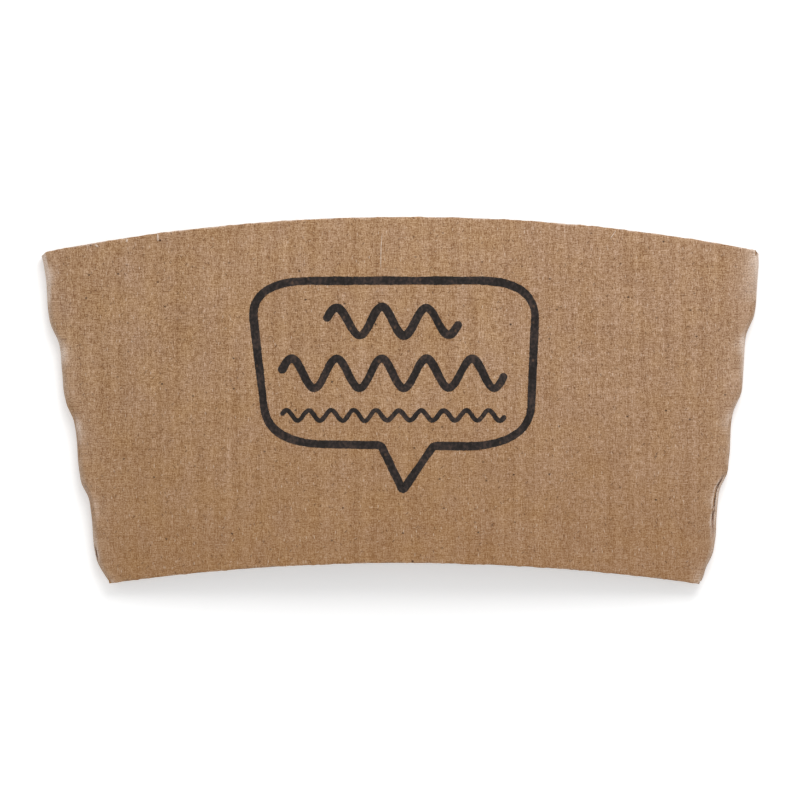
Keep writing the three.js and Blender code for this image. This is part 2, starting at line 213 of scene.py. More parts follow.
@dataclass(frozen=True)
class SleeveForm:
    """The folded sleeve's outline and heights, in its own frame with Y = 0 halfway up.

    Attributes:
        board: The board it is made of.
        middle_width: Crease to crease, halfway up.
        middle_height: Edge to edge on the centre line.
        wide_radius: Radius of the wide edge.
        narrow_radius: Radius of the narrow edge.
        wide_offset: X of the wide edge's centre.
        left_tilt: Degrees between the left crease and the flutes.
        right_tilt: The same at the right crease.
        ply_gap: Between front and back where they lie closest.
        nose_reach: Reach of the rounded turn at a crease.
        strip_reach: Where the crushed strip ends, from the crease.
        drift_length: A crease follows one flute this far.
        drift: Sideways reach of a crease's jumps.
        jump_share: Share of that length that a jump takes.
        left_jump: Height at which one jump of the left crease starts.
        right_jump: The same at the right crease.
        corner_wear: How far the ends of a crease are rubbed in.
        corner_reach: Length of that wear.
        lap_width: Width of the glued seam on the back.
        lap_bite: How far the seam's two boards are pressed into each other.
        spring: How far the middle of the front lifts off the back.
    """

    board: Board = Board()
    middle_width: float = 0.1176
    middle_height: float = 0.0600
    wide_radius: float = 0.3344
    narrow_radius: float = 0.3540
    wide_offset: float = 0.0005
    left_tilt: float = 11.0
    right_tilt: float = 9.85
    ply_gap: float = 0.0002
    nose_reach: float = 0.0011
    strip_reach: float = 0.0029
    drift_length: float = 0.0136
    drift: float = 0.00085
    jump_share: float = 0.28
    left_jump: float = 0.0115
    right_jump: float = 0.0130
    corner_wear: float = 0.0006
    corner_reach: float = 0.0030
    lap_width: float = 0.0120
    lap_bite: float = 0.00005
    spring: float = 0.0065

    # Steps that find where a crease ends, and places tried for its outermost point.
    END_STEPS = 12
    NOSE_PLACES = 400

    @property
    def stack(self) -> float:
        """Height of the printed face over the floor, at a crease."""
        return 2 * self.board.depth + self.ply_gap

    def tilt(self, side: Side) -> float:
        """Give a crease's angle to the flutes, in radians."""
        return math.radians(self.left_tilt if side is Side.LEFT else self.right_tilt)

    def wide_edge(self, x: Array) -> Array:
        """Give the wide edge's Y."""
        across = np.sqrt(self.wide_radius**2 - (x - self.wide_offset) ** 2)
        return self.middle_height / 2 - self.wide_radius + across

    def narrow_edge(self, x: Array) -> Array:
        """Give the narrow edge's Y."""
        across = np.sqrt(self.narrow_radius**2 - x**2)
        return -self.middle_height / 2 - self.narrow_radius + across

    def crease(self, side: Side, y: Array | float) -> Array:
        """Give the X of a straight crease line."""
        return side.value * (self.middle_width / 2 + y * math.tan(self.tilt(side)))

    def crease_end(self, side: Side, edge: Callable[[Array], Array]) -> float:
        """Find the height at which a crease meets one of the curved edges.

        Args:
            side: Which crease.
            edge: The curved edge, `wide_edge` or `narrow_edge`.

        Returns:
            The Y of their meeting.
        """
        height = 0.0
        for _ in range(self.END_STEPS):
            height = float(edge(self.crease(side, height)))
        return height

    def crease_phase(self, side: Side, y: Array) -> Array:
        """Give how far down its present flute a crease has run, from 0 to 1."""
        first = self.left_jump if side is Side.LEFT else self.right_jump
        return np.mod((first - y) / self.drift_length, 1.0)

    def crease_drift(self, side: Side, y: Array) -> Array:
        """Give how far the turned edge has come in from the straight crease.

        Args:
            side: Which crease.
            y: Heights along it.

        Returns:
            The distance inwards at each height.
        """
        phase = self.crease_phase(side, y)
        jumping = phase < self.jump_share
        way = np.where(jumping, phase / self.jump_share, (1 - phase) / (1 - self.jump_share))
        low = self.crease_end(side, self.narrow_edge)
        high = self.crease_end(side, self.wide_edge)
        to_end = np.minimum(y - low, high - y)
        worn = self.corner_wear * np.clip(1 - to_end / self.corner_reach, 0.0, 1.0) ** 2
        return self.drift * (smoothstep(way, 0.0, 1.0) - 0.5) + worn

    def inset(self, side: Side, x: Array, y: Array) -> Array:
        """Give the distance in from one turned edge."""
        return side.value * (self.crease(side, y) - x) - self.crease_drift(side, y)

    def front_lift(self, x: Array, y: Array) -> Array:
        """Give how far the front has sprung up.

        Args:
            x: Places across.
            y: Places up.

        Returns:
            The lift, most in the middle and none at the creases.
        """
        left, right = self.crease(Side.LEFT, y), self.crease(Side.RIGHT, y)
        half = (right - left) / 2
        across = (x - left) / half - 1
        return np.maximum(0.0, self.spring * half * 2 / self.middle_width * (1 - across**2))

    def flap_lift(self, x: Array, y: Array) -> Array:
        """Give how far the inner half of the back has risen onto the outer half.

        Args:
            x: Places across.
            y: Places up.

        Returns:
            The lift, none at the right crease.
        """
        fold = self.crease(Side.RIGHT, y)
        rise = self.board.depth - self.lap_bite
        return np.maximum(0.0, rise * (fold - x) / fold)

    def unfolded(self, side: Side, x: Array, y: Array) -> tuple[Array, Array]:
        """Turn a place on the back to where it lies on the flat blank, or the other way.

        Args:
            side: The crease that it is folded over at.
            x: Places across.
            y: Places up.

        Returns:
            Their X and Y after the turn.
        """
        tilt = self.tilt(side)
        axis_x, axis_y = side.value * math.sin(tilt), math.cos(tilt)
        start = float(self.crease(side, 0.0))
        from_x = x - start
        along = from_x * axis_x + y * axis_y
        return start + 2 * along * axis_x - from_x, 2 * along * axis_y - y

    def footprint_middle(self) -> tuple[float, float]:
        """Give the middle of the sleeve's footprint.

        Returns:
            Its X and Y, in the sleeve's own frame.
        """
        ends_x, low_ends = [], []
        for side in Side:
            low = self.crease_end(side, self.narrow_edge)
            high = self.crease_end(side, self.wide_edge)
            y = np.linspace(low, high, self.NOSE_PLACES)
            nose = self.crease(side, y) - side.value * self.crease_drift(side, y)
            ends_x.append(float(nose[np.argmax(side.value * nose)]))
            low_ends.append(low)
        top = float(self.wide_edge(np.array(self.wide_offset)))
        return sum(ends_x) / 2, (top + min(low_ends)) / 2


@dataclass(frozen=True)
class Crack:
    """A split of the liner along a crease.

    Attributes:
        side: Which crease.
        y: Height of its middle.
        length: Its length.
        inset: Distance in from the sleeve's edge.
        half_width: Half its width.
        depth: Its depth.
        lip: How far the torn pale paper reaches beside it.
        floor: Share of its width that has the full depth.
        wander: How far it strays to either side.
        fade: Length over which it closes at an end.
    """

    side: Side
    y: float
    length: float
    inset: float
    half_width: float = 0.00020
    depth: float = 0.0011
    lip: float = 0.00034
    floor: float = 0.3
    wander: float = 0.00010
    fade: float = 0.0022

    # Patterns of its straying and of where it holds together, and the range that closes it.
    STRAYING = SmoothNoise(41, 0.0013)
    HOLDING = SmoothNoise(43, 0.0016)
    HOLDING_RANGE = (-0.55, 0.05)

    def offset(self, form: SleeveForm, x: Array, y: Array) -> Array:
        """Give the distance from the crack's wandering line."""
        line = self.inset + self.STRAYING.along(y) * self.wander
        return np.abs(form.inset(self.side, x, y) - line)

    def along(self, y: Array) -> Array:
        """Give how open the crack is.

        Args:
            y: Places up.

        Returns:
            0 where it is closed, to 1 where it is open.
        """
        fade = min(self.fade, self.length / 4)
        inside = smoothstep(self.length / 2 - np.abs(y - self.y), 0.0, fade)
        return inside * smoothstep(self.HOLDING.along(y), *self.HOLDING_RANGE)

    def cut(self, form: SleeveForm, x: Array, y: Array) -> Array:
        """Give how far the crack lowers the face."""
        near = 1 - smoothstep(self.offset(form, x, y), self.floor * self.half_width, self.half_width)
        return self.depth * self.along(y) * near

    def torn(self, form: SleeveForm, x: Array, y: Array) -> Array:
        """Give how torn the paper is beside the crack, from 0 to 1."""
        near = 1 - smoothstep(self.offset(form, x, y), self.half_width, self.half_width + self.lip)
        return self.along(y) * near


@dataclass(frozen=True)
class Relief:
    """The small unevenness of the liner's face, over the flat blank.

    Attributes:
        form: The sleeve.
        dent: Height of the soft dents all over.
        small_share: Height of the smaller dents, as a share of that.
        wrinkle: Height of the wrinkles beside a crease.
        wrinkle_reach: How far in they run.
    """

    form: SleeveForm
    dent: float = 0.00005
    small_share: float = 0.5
    wrinkle: float = 0.00016
    wrinkle_reach: float = 0.0045

    DENTS = SmoothNoise(7, 0.007, 0.011)
    SMALL_DENTS = SmoothNoise(8, 0.0034, 0.009)
    WRINKLES = SmoothNoise(9, 0.0017, 0.0030)

    def reach(self, x: Array, y: Array) -> Array:
        """Give the distance in from the nearer crease line."""
        left = x - self.form.crease(Side.LEFT, y)
        return np.minimum(left, self.form.crease(Side.RIGHT, y) - x)

    def at(self, x: Array, y: Array) -> Array:
        """Give the face's height over an even board.

        Args:
            x: Places across the flat blank.
            y: Places up the flat blank.

        Returns:
            The height, which is below 0 in a dent.
        """
        dents = self.DENTS.at(x, y) + self.small_share * self.SMALL_DENTS.at(x, y)
        beside = bell(self.reach(x, y), self.wrinkle_reach)
        wrinkles = self.wrinkle * beside * self.WRINKLES.at(x, y)
        return self.dent * dents + wrinkles - self.form.board.sag(x)


@dataclass(frozen=True)
class WearAndHighlight:
    """The splits, and the pale paper along the creases: rubbed paper and painted highlight of the
    turned folds.

    Attributes:
        form: The sleeve.
        reach: How far in the rubbed paleness and painted highlight go.
        evenly: Paleness all along a crease.
        blotch: Paleness of its blotches.
        patch: Rubbed paleness and painted highlight where the crease has just stepped over a flute.
        patch_phase: Where that is, as a share of the way down one flute.
        patch_length: Its length, as the same share.
        haze: Faint paleness further in.
        haze_reach: How far in that goes.
        top_length: A crease is paler over this length from the wide edge.
        top_fade: Length over which that starts.
        strip: Paleness of the left crease's strip there, rubbed paper and painted highlight.
        strip_core: Width of the strip's full rub.
        strip_width: Width of the strip.
        corner: Paleness of the right crease's corner there.
        corner_reach: How far in that goes.
        cracks: The liner's splits.
    """

    form: SleeveForm
    reach: float = 0.0010
    evenly: float = 0.14
    blotch: float = 0.36
    patch: float = 0.85
    patch_phase: float = 0.36
    patch_length: float = 0.15
    haze: float = 0.10
    haze_reach: float = 0.0032
    top_length: float = 0.0095
    top_fade: float = 0.0025
    strip: float = 0.75
    strip_core: float = 0.0006
    strip_width: float = 0.0010
    corner: float = 0.34
    corner_reach: float = 0.0027
    cracks: tuple[Crack, ...] = (
        Crack(Side.RIGHT, -0.0207, 0.0125, 0.00072, 0.00024, 0.0014),
        Crack(Side.RIGHT, 0.0247, 0.0030, 0.00062, 0.00022),
        Crack(Side.LEFT, -0.0279, 0.0040, 0.00036, 0.00016),
    )

    # Patterns of blotches and of small chips, and how far patches and chips change the rub.
    BLOTCHES = SmoothNoise(52, 0.0016, 0.0042)
    CHIPS = SmoothNoise(54, 0.00045, 0.0011)
    CHIP_RANGE = (-0.55, 0.45)
    PATCH_REACH = (0.6, 0.8)
    CHIPPED_RUB = (0.45, 0.75)
    CHIPPED_STRIP = (0.5, 0.7)

    def cut(self, x: Array, y: Array) -> Array:
        """Give how far the cracks lower the front."""
        return sum(crack.cut(self.form, x, y) for crack in self.cracks)

    def rub_and_highlight(self, x: Array, y: Array) -> Array:
        """Give how pale the front is, from torn and rubbed paper and painted highlight along the
        creases.

        Args:
            x: Places across.
            y: Places up.

        Returns:
            The paleness, from 0 to 1.
        """
        total = sum(crack.torn(self.form, x, y) for crack in self.cracks)
        for side in Side:
            total = total + self.crease_rub_and_highlight(side, x, y)
        return np.clip(total, 0.0, 1.0)

    def crease_rub_and_highlight(self, side: Side, x: Array, y: Array) -> Array:
        """Give how pale one crease is: rubbed paper and painted highlight of its turned fold.

        Args:
            side: Which crease.
            x: Places across.
            y: Places up.

        Returns:
            The wear, most where the crease has stepped over a flute.
        """
        inset = self.form.inset(side, x, y)
        inner = np.maximum(inset, 0.0)
        # Patches where the crease has just stepped over a flute: rubbed paper and painted highlight
        # of the fold.
        patch = bell(self.form.crease_phase(side, y) - self.patch_phase, self.patch_length)
        blotch = scaled(self.BLOTCHES.other(side.value).at(x, y), 0.5, 0.5)
        chips = smoothstep(self.CHIPS.other(side.value).at(x, y), *self.CHIP_RANGE)
        spread = bell(inner, self.reach * scaled(patch, *self.PATCH_REACH))
        spread = spread * scaled(chips, *self.CHIPPED_RUB)
        total = self.haze * bell(inner, self.haze_reach)
        total = total + spread * (self.evenly + self.blotch * blotch + self.patch * patch * blotch)
        from_end = y - self.form.crease_end(side, self.form.wide_edge)
        top = smoothstep(from_end, -self.top_length, self.top_fade - self.top_length)
        if side is Side.RIGHT:
            return total + self.corner * top * bell(inner, self.corner_reach)
        strip = 1 - smoothstep(inset, self.strip_core, self.strip_width)
        return total + self.strip * top * scaled(chips, *self.CHIPPED_STRIP) * strip


@dataclass
class Sheet:
    """Two faces of a thin sheet, as grids of columns by rows.

    Attributes:
        outer: Places of the outer face.
        inner: Places of the inner face.
        blank: Their X and Y on the flat blank.
        rub_and_highlight: Their paleness from rubbed paper and painted highlight.
    """

    outer: Array
    inner: Array
    blank: Array
    rub_and_highlight: Array

    def flipped(self) -> Sheet:
        """Turn the columns to run the other way."""
        return Sheet(self.outer[::-1], self.inner[::-1], self.blank[::-1], self.rub_and_highlight[::-1])


def joined(sheets: Sequence[Sheet]) -> Sheet:
    """Join sheets column after column."""
    keys = ("outer", "inner", "blank", "rub_and_highlight")
    return Sheet(*(np.concatenate([getattr(sheet, key) for sheet in sheets]) for key in keys))


def quads(index: Array) -> Array:
    """Give the four-cornered faces of a grid of corner numbers."""
    a, b, c, d = index[:-1, :-1], index[1:, :-1], index[1:, 1:], index[:-1, 1:]
    return np.stack([a, b, c, d], -1).reshape(-1, 4)


class Stage:
    """Where the sleeve lies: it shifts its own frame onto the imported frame's middle."""

    SHARP_EDGE = 50.0

    def __init__(self, form: SleeveForm) -> None:
        """Work out the shift.

        Args:
            form: The sleeve.
        """
        low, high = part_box("sleeve")
        middle_x, middle_y = form.footprint_middle()
        shift_x, shift_y = (low[0] + high[0]) / 2 - middle_x, (low[1] + high[1]) / 2 - middle_y
        self.shift = np.array([shift_x, shift_y, 0.0])

    def mesh(self, name: str, sheet: Sheet) -> bpy.types.Object:
        """Make a closed thin body of a sheet's two faces.

        Args:
            name: The new object's name.
            sheet: Its faces.

        Returns:
            The object, smooth, with the blank's map, and the paleness from rubbed paper and painted
            highlight as an attribute.
        """
        columns, rows = sheet.outer.shape[:2]
        places = np.concatenate([sheet.outer.reshape(-1, 3), sheet.inner.reshape(-1, 3)])
        index = np.arange(columns * rows).reshape(columns, rows)
        other = index + columns * rows
        faces = [quads(index), quads(other)[:, ::-1]]
        for near, far, turned in (
            (index[:, 0], other[:, 0], False),
            (index[:, -1], other[:, -1], True),
            (index[0], other[0], True),
            (index[-1], other[-1], False),
        ):
            rim = quads(np.stack([near, far], 1))
            faces.append(rim[:, ::-1] if turned else rim)
        blank, rub_and_highlight = np.tile(sheet.blank.reshape(-1, 2), (2, 1)), np.tile(sheet.rub_and_highlight.reshape(-1), 2)
        return self.build(name, places, np.concatenate(faces), blank, rub_and_highlight)

    def build(
        self, name: str, places: Array, faces: Array, blank: Array, rub_and_highlight: Array
    ) -> bpy.types.Object:
        """Make a mesh object of four-cornered faces.

        Args:
            name: The new object's name.
            places: Corners, in the sleeve's own frame.
            faces: Corner numbers, four for each face.
            blank: Place of each corner on the blank.
            rub_and_highlight: Paleness of each corner, from rubbed paper and painted highlight.

        Returns:
            The object.
        """
        mesh = bpy.data.meshes.new(name)
        mesh.from_pydata((places + self.shift).tolist(), [], faces.tolist())
        mesh.validate()
        mesh.polygons.foreach_set("use_smooth", [True] * len(mesh.polygons))
        corners = np.empty(len(mesh.loops), dtype=np.int32)
        mesh.loops.foreach_get("vertex_index", corners)
        layer = mesh.uv_layers.new(name=BLANK_MAP)
        layer.data.foreach_set("uv", (blank[corners] / MAP_UNIT).astype(np.float32).ravel())
        wear_and_highlight = mesh.attributes.new(name=RUB, type="FLOAT", domain="POINT")
        wear_and_highlight.data.foreach_set("value", rub_and_highlight.astype(np.float32))
        piece = bpy.data.objects.new(name, mesh)
        bpy.context.scene.collection.objects.link(piece)
        sharp = piece.modifiers.new("edges", "EDGE_SPLIT")
        sharp.split_angle = math.radians(self.SHARP_EDGE)
        return piece


@dataclass(frozen=True)
class Liner:
    """The outer sheet: outer flap, left turn, front, right turn and inner flap in one.

    Attributes:
        form: The sleeve.
        relief: Its face's unevenness.
        wear_and_highlight: The splits and paleness of its creases: rubbed paper and painted
            highlight.
        rows: Rows from the narrow to the wide edge.
        flap_columns: Columns across one half of the back.
        turn_columns: Columns round one crease.
        front_columns: Columns across the front.
        bunching: How much closer the front's columns stand at the creases.
        corner_rounding: How far the tips of the corners are rounded off.
        corner_power: How quickly that falls off along a crease.
        edge_drop: How far the cut edges are pressed down.
        edge_reach: Reach of that, as a share of the height.
        fray: Raggedness of the cut edges.
        waver: Sideways waver of the turned edges.
        turn_run: Length of board on the blank that turns by one radian.
        back_relief: Unevenness of the back, as a share of the front's.
    """

    form: SleeveForm
    relief: Relief
    wear_and_highlight: WearAndHighlight
    rows: int = 80
    flap_columns: int = 64
    turn_columns: int = 40
    front_columns: int = 372
    bunching: float = 0.14
    corner_rounding: float = 0.00055
    corner_power: int = 60
    edge_drop: float = 0.00011
    edge_reach: float = 0.0024
    fray: float = 0.00006
    waver: float = 0.00007
    turn_run: float = 0.0012
    back_relief: float = 0.4

    # Rows beside a cut edge and the first row after them, as shares of the height.
    RIM_WAYS = (0.0, 0.0018, 0.0045, 0.009)
    INNER_WAY = 0.016

    # Patterns of the cut edges, for the narrow one. The wide one has the next.
    FRAY = SmoothNoise(21, 0.0007)
    LONG_FRAY = SmoothNoise(23, 0.0022)

    # Patterns over the turn, by angle and height, and the start and rise of its paleness: rubbed
    # paper, and painted highlight that lifts the shade where the turn faces sideways.
    WAVER = SmoothNoise(31, 3.0, 0.0021)
    EDGE_WEAR_AND_HIGHLIGHT = SmoothNoise(51, 0.9, 0.0035)
    EDGE_WEAR_AND_HIGHLIGHT_RANGE = (0.08, 0.42)
    RAGGED = SmoothNoise(64, 0.7, 0.0016)
    RAGGED_SHARE = 0.3
    RUB_AND_HIGHLIGHT_HEIGHTS = (-0.55, 0.45)
    # Painted highlight, with some rubbed paper, on the turn's outermost face near the wide edge, and
    # its reach.
    TIP_RUB, TIP_REACH = 0.8, 0.004

    # Pale chips and painted highlight of the front's cut edges, at the wide and the narrow one, and
    # the back's rubbed paleness.
    CHIPS = SmoothNoise(57, 0.0021)
    CHIP_RANGE = (-0.2, 0.9)
    WIDE_CHIP, NARROW_CHIP = 0.9, 0.4
    BACK_RUB, BACK_RUB_REACH = 0.8, 0.0021

    def front_surface(self, x: Array, y: Array) -> Array:
        """Give the printed face's height."""
        return self.form.stack + self.form.front_lift(x, y) + self.relief.at(x, y)

    def sheet(self) -> Sheet:
        """Lay out the whole sheet.

        Returns:
            Its two faces.
        """
        left, right = Side.LEFT, Side.RIGHT
        parts = [self.flap(left), self.turn(left), self.front(), self.turn(right), self.flap(right)]
        return joined(parts)

    def heights(self, side: Side) -> Array:
        """Give the rows' heights along one crease.

        Args:
            side: Which crease.

        Returns:
            Their Y, as one row.
        """
        low = self.form.crease_end(side, self.form.narrow_edge)
        high = self.form.crease_end(side, self.form.wide_edge)
        return (low + (high - low) * self.ways())[None, :]

    def ways(self) -> Array:
        """Give the rows' shares of the height, closer together at the cut edges.

        Returns:
            The shares, from 0 to 1.
        """
        rim = np.array(self.RIM_WAYS)
        inner = np.linspace(self.INNER_WAY, 1 - self.INNER_WAY, self.rows - 2 * len(rim))
        return np.concatenate([rim, inner, 1 - rim[::-1]])

    def cut_edge(self) -> Array:
        """Give how close each row is to a cut edge, from 0 to 1."""
        way = self.ways()
        return bell(np.minimum(way, 1 - way), self.edge_reach)[None, :]

    def rows_y(self, x: Array) -> Array:
        """Spread the rows from the narrow to the wide edge, with slightly ragged cuts.

        Args:
            x: Places across, columns by rows.

        Returns:
            Their heights.
        """
        ends = []
        cuts = ((x[:, :1], self.form.narrow_edge), (x[:, -1:], self.form.wide_edge))
        for step, (row, edge) in enumerate(cuts):
            fray = self.FRAY.other(step).along(row) + self.LONG_FRAY.other(step).along(row)
            ends.append(edge(row) + fray * self.fray)
        return ends[0] + (ends[1] - ends[0]) * self.ways()

    def turn_end(self, side: Side) -> Array:
        """Give the X at which the turn ends and a flat panel starts.

        Args:
            side: Which crease.

        Returns:
            Its X at each row.
        """
        form, heights = self.form, self.heights(side)
        drift = form.crease_drift(side, heights) * (1 - form.nose_reach / form.strip_reach)
        return form.crease(side, heights) - side.value * (form.nose_reach + drift)

    def turn_face(self, side: Side, angle: Array, inset: float) -> Array:
        """Lay out one face of the turn at a crease.

        Args:
            side: Which crease.
            angle: The columns' angles, from straight down to straight up.
            inset: Depth of the face under the liner's outside.

        Returns:
            Its places.
        """
        form, heights = self.form, self.heights(side)
        reach = form.nose_reach - (form.nose_reach - inset) * np.cos(angle)
        soft = self.WAVER.other(side.value).at(angle, heights) * self.waver
        drift = form.crease_drift(side, heights) * (1 - reach / form.strip_reach)
        x = form.crease(side, heights) - side.value * (reach + soft + drift)
        y = self.rows_y(x)
        ends = np.abs(2 * self.ways() - 1) ** self.corner_power
        rounding = self.corner_rounding * smoothstep(-reach, -form.nose_reach, 0.0)
        y = y - np.sign(y) * ends * rounding
        upper = (1 + np.sin(angle)) / 2
        z = form.stack / 2 + (form.stack / 2 - inset) * np.sin(angle) + upper * form.front_lift(x, y)
        if side is Side.RIGHT:
            z = z + (1 - upper) * form.flap_lift(x, y)
        z = z + self.relief.at(x, y) * upper * np.abs(np.sin(angle))
        z = z - upper * (self.wear_and_highlight.cut(x, y) + self.edge_drop * self.cut_edge())
        return np.stack([x, y, np.maximum(z, inset)], -1)

    def turn_rub_and_highlight(self, side: Side, angle: Array, face: Array) -> Array:
        """Give how pale a turn is: rubbed paper, and painted highlight that lifts the shade of its
        sideways face.

        Args:
            side: Which crease.
            angle: The columns' angles.
            face: Its outer places.

        Returns:
            The paleness, from 0 to 1, which fades on the lower board.
        """
        heights = self.heights(side)
        edge = scaled(self.EDGE_WEAR_AND_HIGHLIGHT.other(side.value).at(angle, heights), *self.EDGE_WEAR_AND_HIGHLIGHT_RANGE)
        edge = edge + self.TIP_RUB * bell(heights - heights.max(), self.TIP_REACH)
        # Add painted highlight where the turn faces sideways, to lift its shade.
        rub_and_highlight = self.wear_and_highlight.rub_and_highlight(face[..., 0], face[..., 1]) + edge * np.cos(angle)
        ragged = self.RAGGED_SHARE * self.RAGGED.other(side.value).at(angle, heights)
        return np.clip(rub_and_highlight * smoothstep(np.sin(angle) + ragged, *self.RUB_AND_HIGHLIGHT_HEIGHTS), 0, 1)

    def turn(self, side: Side) -> Sheet:
        """Lay out the rounded turn at one crease.

        Args:
            side: Which crease.

        Returns:
            Its two faces, with the columns in the whole sheet's order.
        """
        angle = np.linspace(-np.pi / 2, np.pi / 2, self.turn_columns)[:, None]
        outer, inner = (self.turn_face(side, angle, inset) for inset in (0.0, self.form.board.liner))
        blank_x = self.form.crease(side, self.heights(side)) - side.value * angle * self.turn_run
        blank = np.stack([blank_x, inner[..., 1]], -1)
        sheet = Sheet(outer, inner, blank, self.turn_rub_and_highlight(side, angle, outer))
        return sheet if side is Side.LEFT else sheet.flipped()

    def front(self) -> Sheet:
        """Lay out the printed front between the two turns.

        Returns:
            Its two faces.
        """
        even = np.linspace(-1.0, 1.0, self.front_columns)
        across = (1 - self.bunching) * even + self.bunching * np.sin(even * np.pi / 2)
        left, right = self.turn_end(Side.LEFT), self.turn_end(Side.RIGHT)
        x = left + (right - left) * (across[1:-1, None] + 1) / 2
        y = self.rows_y(x)
        z = self.front_surface(x, y) - self.wear_and_highlight.cut(x, y) - self.edge_drop * self.cut_edge()
        # Pale chips and painted highlight along the cut edges.
        chips = smoothstep(self.CHIPS.along(x), *self.CHIP_RANGE)
        chips = self.cut_edge() * chips * np.where(y > 0, self.WIDE_CHIP, self.NARROW_CHIP)
        rub_and_highlight = np.clip(self.wear_and_highlight.rub_and_highlight(x, y) + chips, 0, 1)
        outer = np.stack([x, y, z], -1)
        inner = outer - np.array([0.0, 0.0, self.form.board.liner])
        return Sheet(outer, inner, np.stack([x, y], -1), rub_and_highlight)

    def flap(self, side: Side) -> Sheet:
        """Lay out one half of the back, from its glued or free end to its crease.

        Args:
            side: The crease that it hangs on.

        Returns:
            Its two faces, with the columns in the whole sheet's order.
        """
        form = self.form
        way = np.linspace(0.0, 1.0, self.flap_columns)[:-1, None]
        start = -side.value * form.lap_width / 2
        x = start + (self.turn_end(side) - start) * way
        y = self.rows_y(x)
        blank_x, blank_y = form.unfolded(side, x, y)
        z = -self.back_relief * self.relief.at(blank_x, blank_y)
        if side is Side.RIGHT:
            z = z + form.flap_lift(x, y)
        outer = np.stack([x, y, np.maximum(z, 0.0)], -1)
        inner = outer + np.array([0.0, 0.0, form.board.liner])
        rub_and_highlight = self.BACK_RUB * bell(self.relief.reach(x, y), self.BACK_RUB_REACH)
        sheet = Sheet(outer, inner, np.stack([blank_x, blank_y], -1), rub_and_highlight)
        return sheet if side is Side.LEFT else sheet.flipped()


@dataclass(frozen=True)
class Fluting:
    """The wavy sheet inside the liner, on one panel of the folded sleeve.

    Attributes:
        form: The sleeve.
        side: The crease that the panel is folded over at, or None for the front.
        steps: Columns for each flute.
        rows: Rows along a flute.
        reach: How far out flutes are laid, in widths of the sleeve.
        crushed_reach: The flutes are crushed up to here, from a crease.
        open_reach: They have their full depth from here on.
    """

    form: SleeveForm
    side: Side | None
    steps: int = 12
    rows: int = 9
    reach: float = 2.2
    crushed_reach: float = 0.001
    open_reach: float = 0.005

    # The search for a column's two ends: places tried, how far out, fewest to keep, halvings.
    TRIES = 1200
    TRY_REACH = 0.12
    FEWEST = 8
    HALVINGS = 16

    def place(self, blank_x: Array, blank_y: Array) -> tuple[Array, Array]:
        """Give where a place on the blank lies when folded.

        Args:
            blank_x: Its X on the blank.
            blank_y: Its Y on the blank.

        Returns:
            Its X and Y on the folded sleeve.
        """
        if self.side is None:
            return blank_x, blank_y
        return self.form.unfolded(self.side, blank_x, blank_y)

    def inside(self, blank_x: Array, blank_y: Array) -> Array:
        """Say which places on the blank belong to this panel.

        Args:
            blank_x: Their X on the blank.
            blank_y: Their Y on the blank.

        Returns:
            True for those that do.
        """
        form = self.form
        x, y = self.place(blank_x, blank_y)
        left = form.crease(Side.LEFT, y) + form.nose_reach
        right = form.crease(Side.RIGHT, y) - form.nose_reach
        if self.side is Side.LEFT:
            right = form.lap_width / 2
        if self.side is Side.RIGHT:
            left = -form.lap_width / 2
        safe = np.clip(x, -form.middle_width, form.middle_width)
        fits = (y >= form.narrow_edge(safe)) & (y <= form.wide_edge(safe))
        return fits & (x >= left) & (x <= right)

    def span(self, blank_x: Array) -> tuple[Array, Array, Array]:
        """Find each column's lowest and highest place inside the panel.

        Args:
            blank_x: The columns.

        Returns:
            The lowest and highest Y on the blank, and which columns have any.
        """
        tries = np.linspace(-self.TRY_REACH, self.TRY_REACH, self.TRIES)
        held = self.inside(blank_x[:, None], tries[None, :])
        first = held.argmax(1)
        last = len(tries) - 1 - held[:, ::-1].argmax(1)
        ends = []
        for at, step in ((first, -1), (last, 1)):
            good = tries[at]
            bad = tries[np.clip(at + step, 0, len(tries) - 1)]
            for _ in range(self.HALVINGS):
                middle = (good + bad) / 2
                fits = self.inside(blank_x, middle)
                good, bad = np.where(fits, middle, good), np.where(fits, bad, middle)
            ends.append(good)
        return ends[0], ends[1], held.sum(1) > self.FEWEST

    def sheet(self) -> Sheet:
        """Lay out the wavy sheet.

        Returns:
            Its two faces.
        """
        form, board = self.form, self.form.board
        reach = self.reach * form.middle_width
        columns = np.arange(-reach, reach, board.pitch / self.steps)
        low, high, full = self.span(columns)
        columns, low, high = columns[full][:, None], low[full][:, None], high[full][:, None]
        blank_y = low + (high - low) * np.linspace(0.0, 1.0, self.rows)[None, :]
        blank_x = columns + 0 * blank_y
        x, y = self.place(blank_x, blank_y)
        inset = np.minimum(form.crease(Side.RIGHT, y) - x, x - form.crease(Side.LEFT, y))
        fullness = smoothstep(inset, self.crushed_reach, self.open_reach)
        depth, half = board.wave(blank_x)
        depth = board.liner + (depth - board.liner) * (board.crushed + (1 - board.crushed) * fullness)
        if self.side is None:
            middle = form.stack + form.front_lift(x, y) - board.sag(blank_x) - depth
        else:
            middle = depth + (form.flap_lift(x, y) if self.side is Side.RIGHT else 0.0)
        outer, inner = np.stack([x, y, middle + half], -1), np.stack([x, y, middle - half], -1)
        return Sheet(outer, inner, np.stack([blank_x, blank_y], -1), 0 * x)


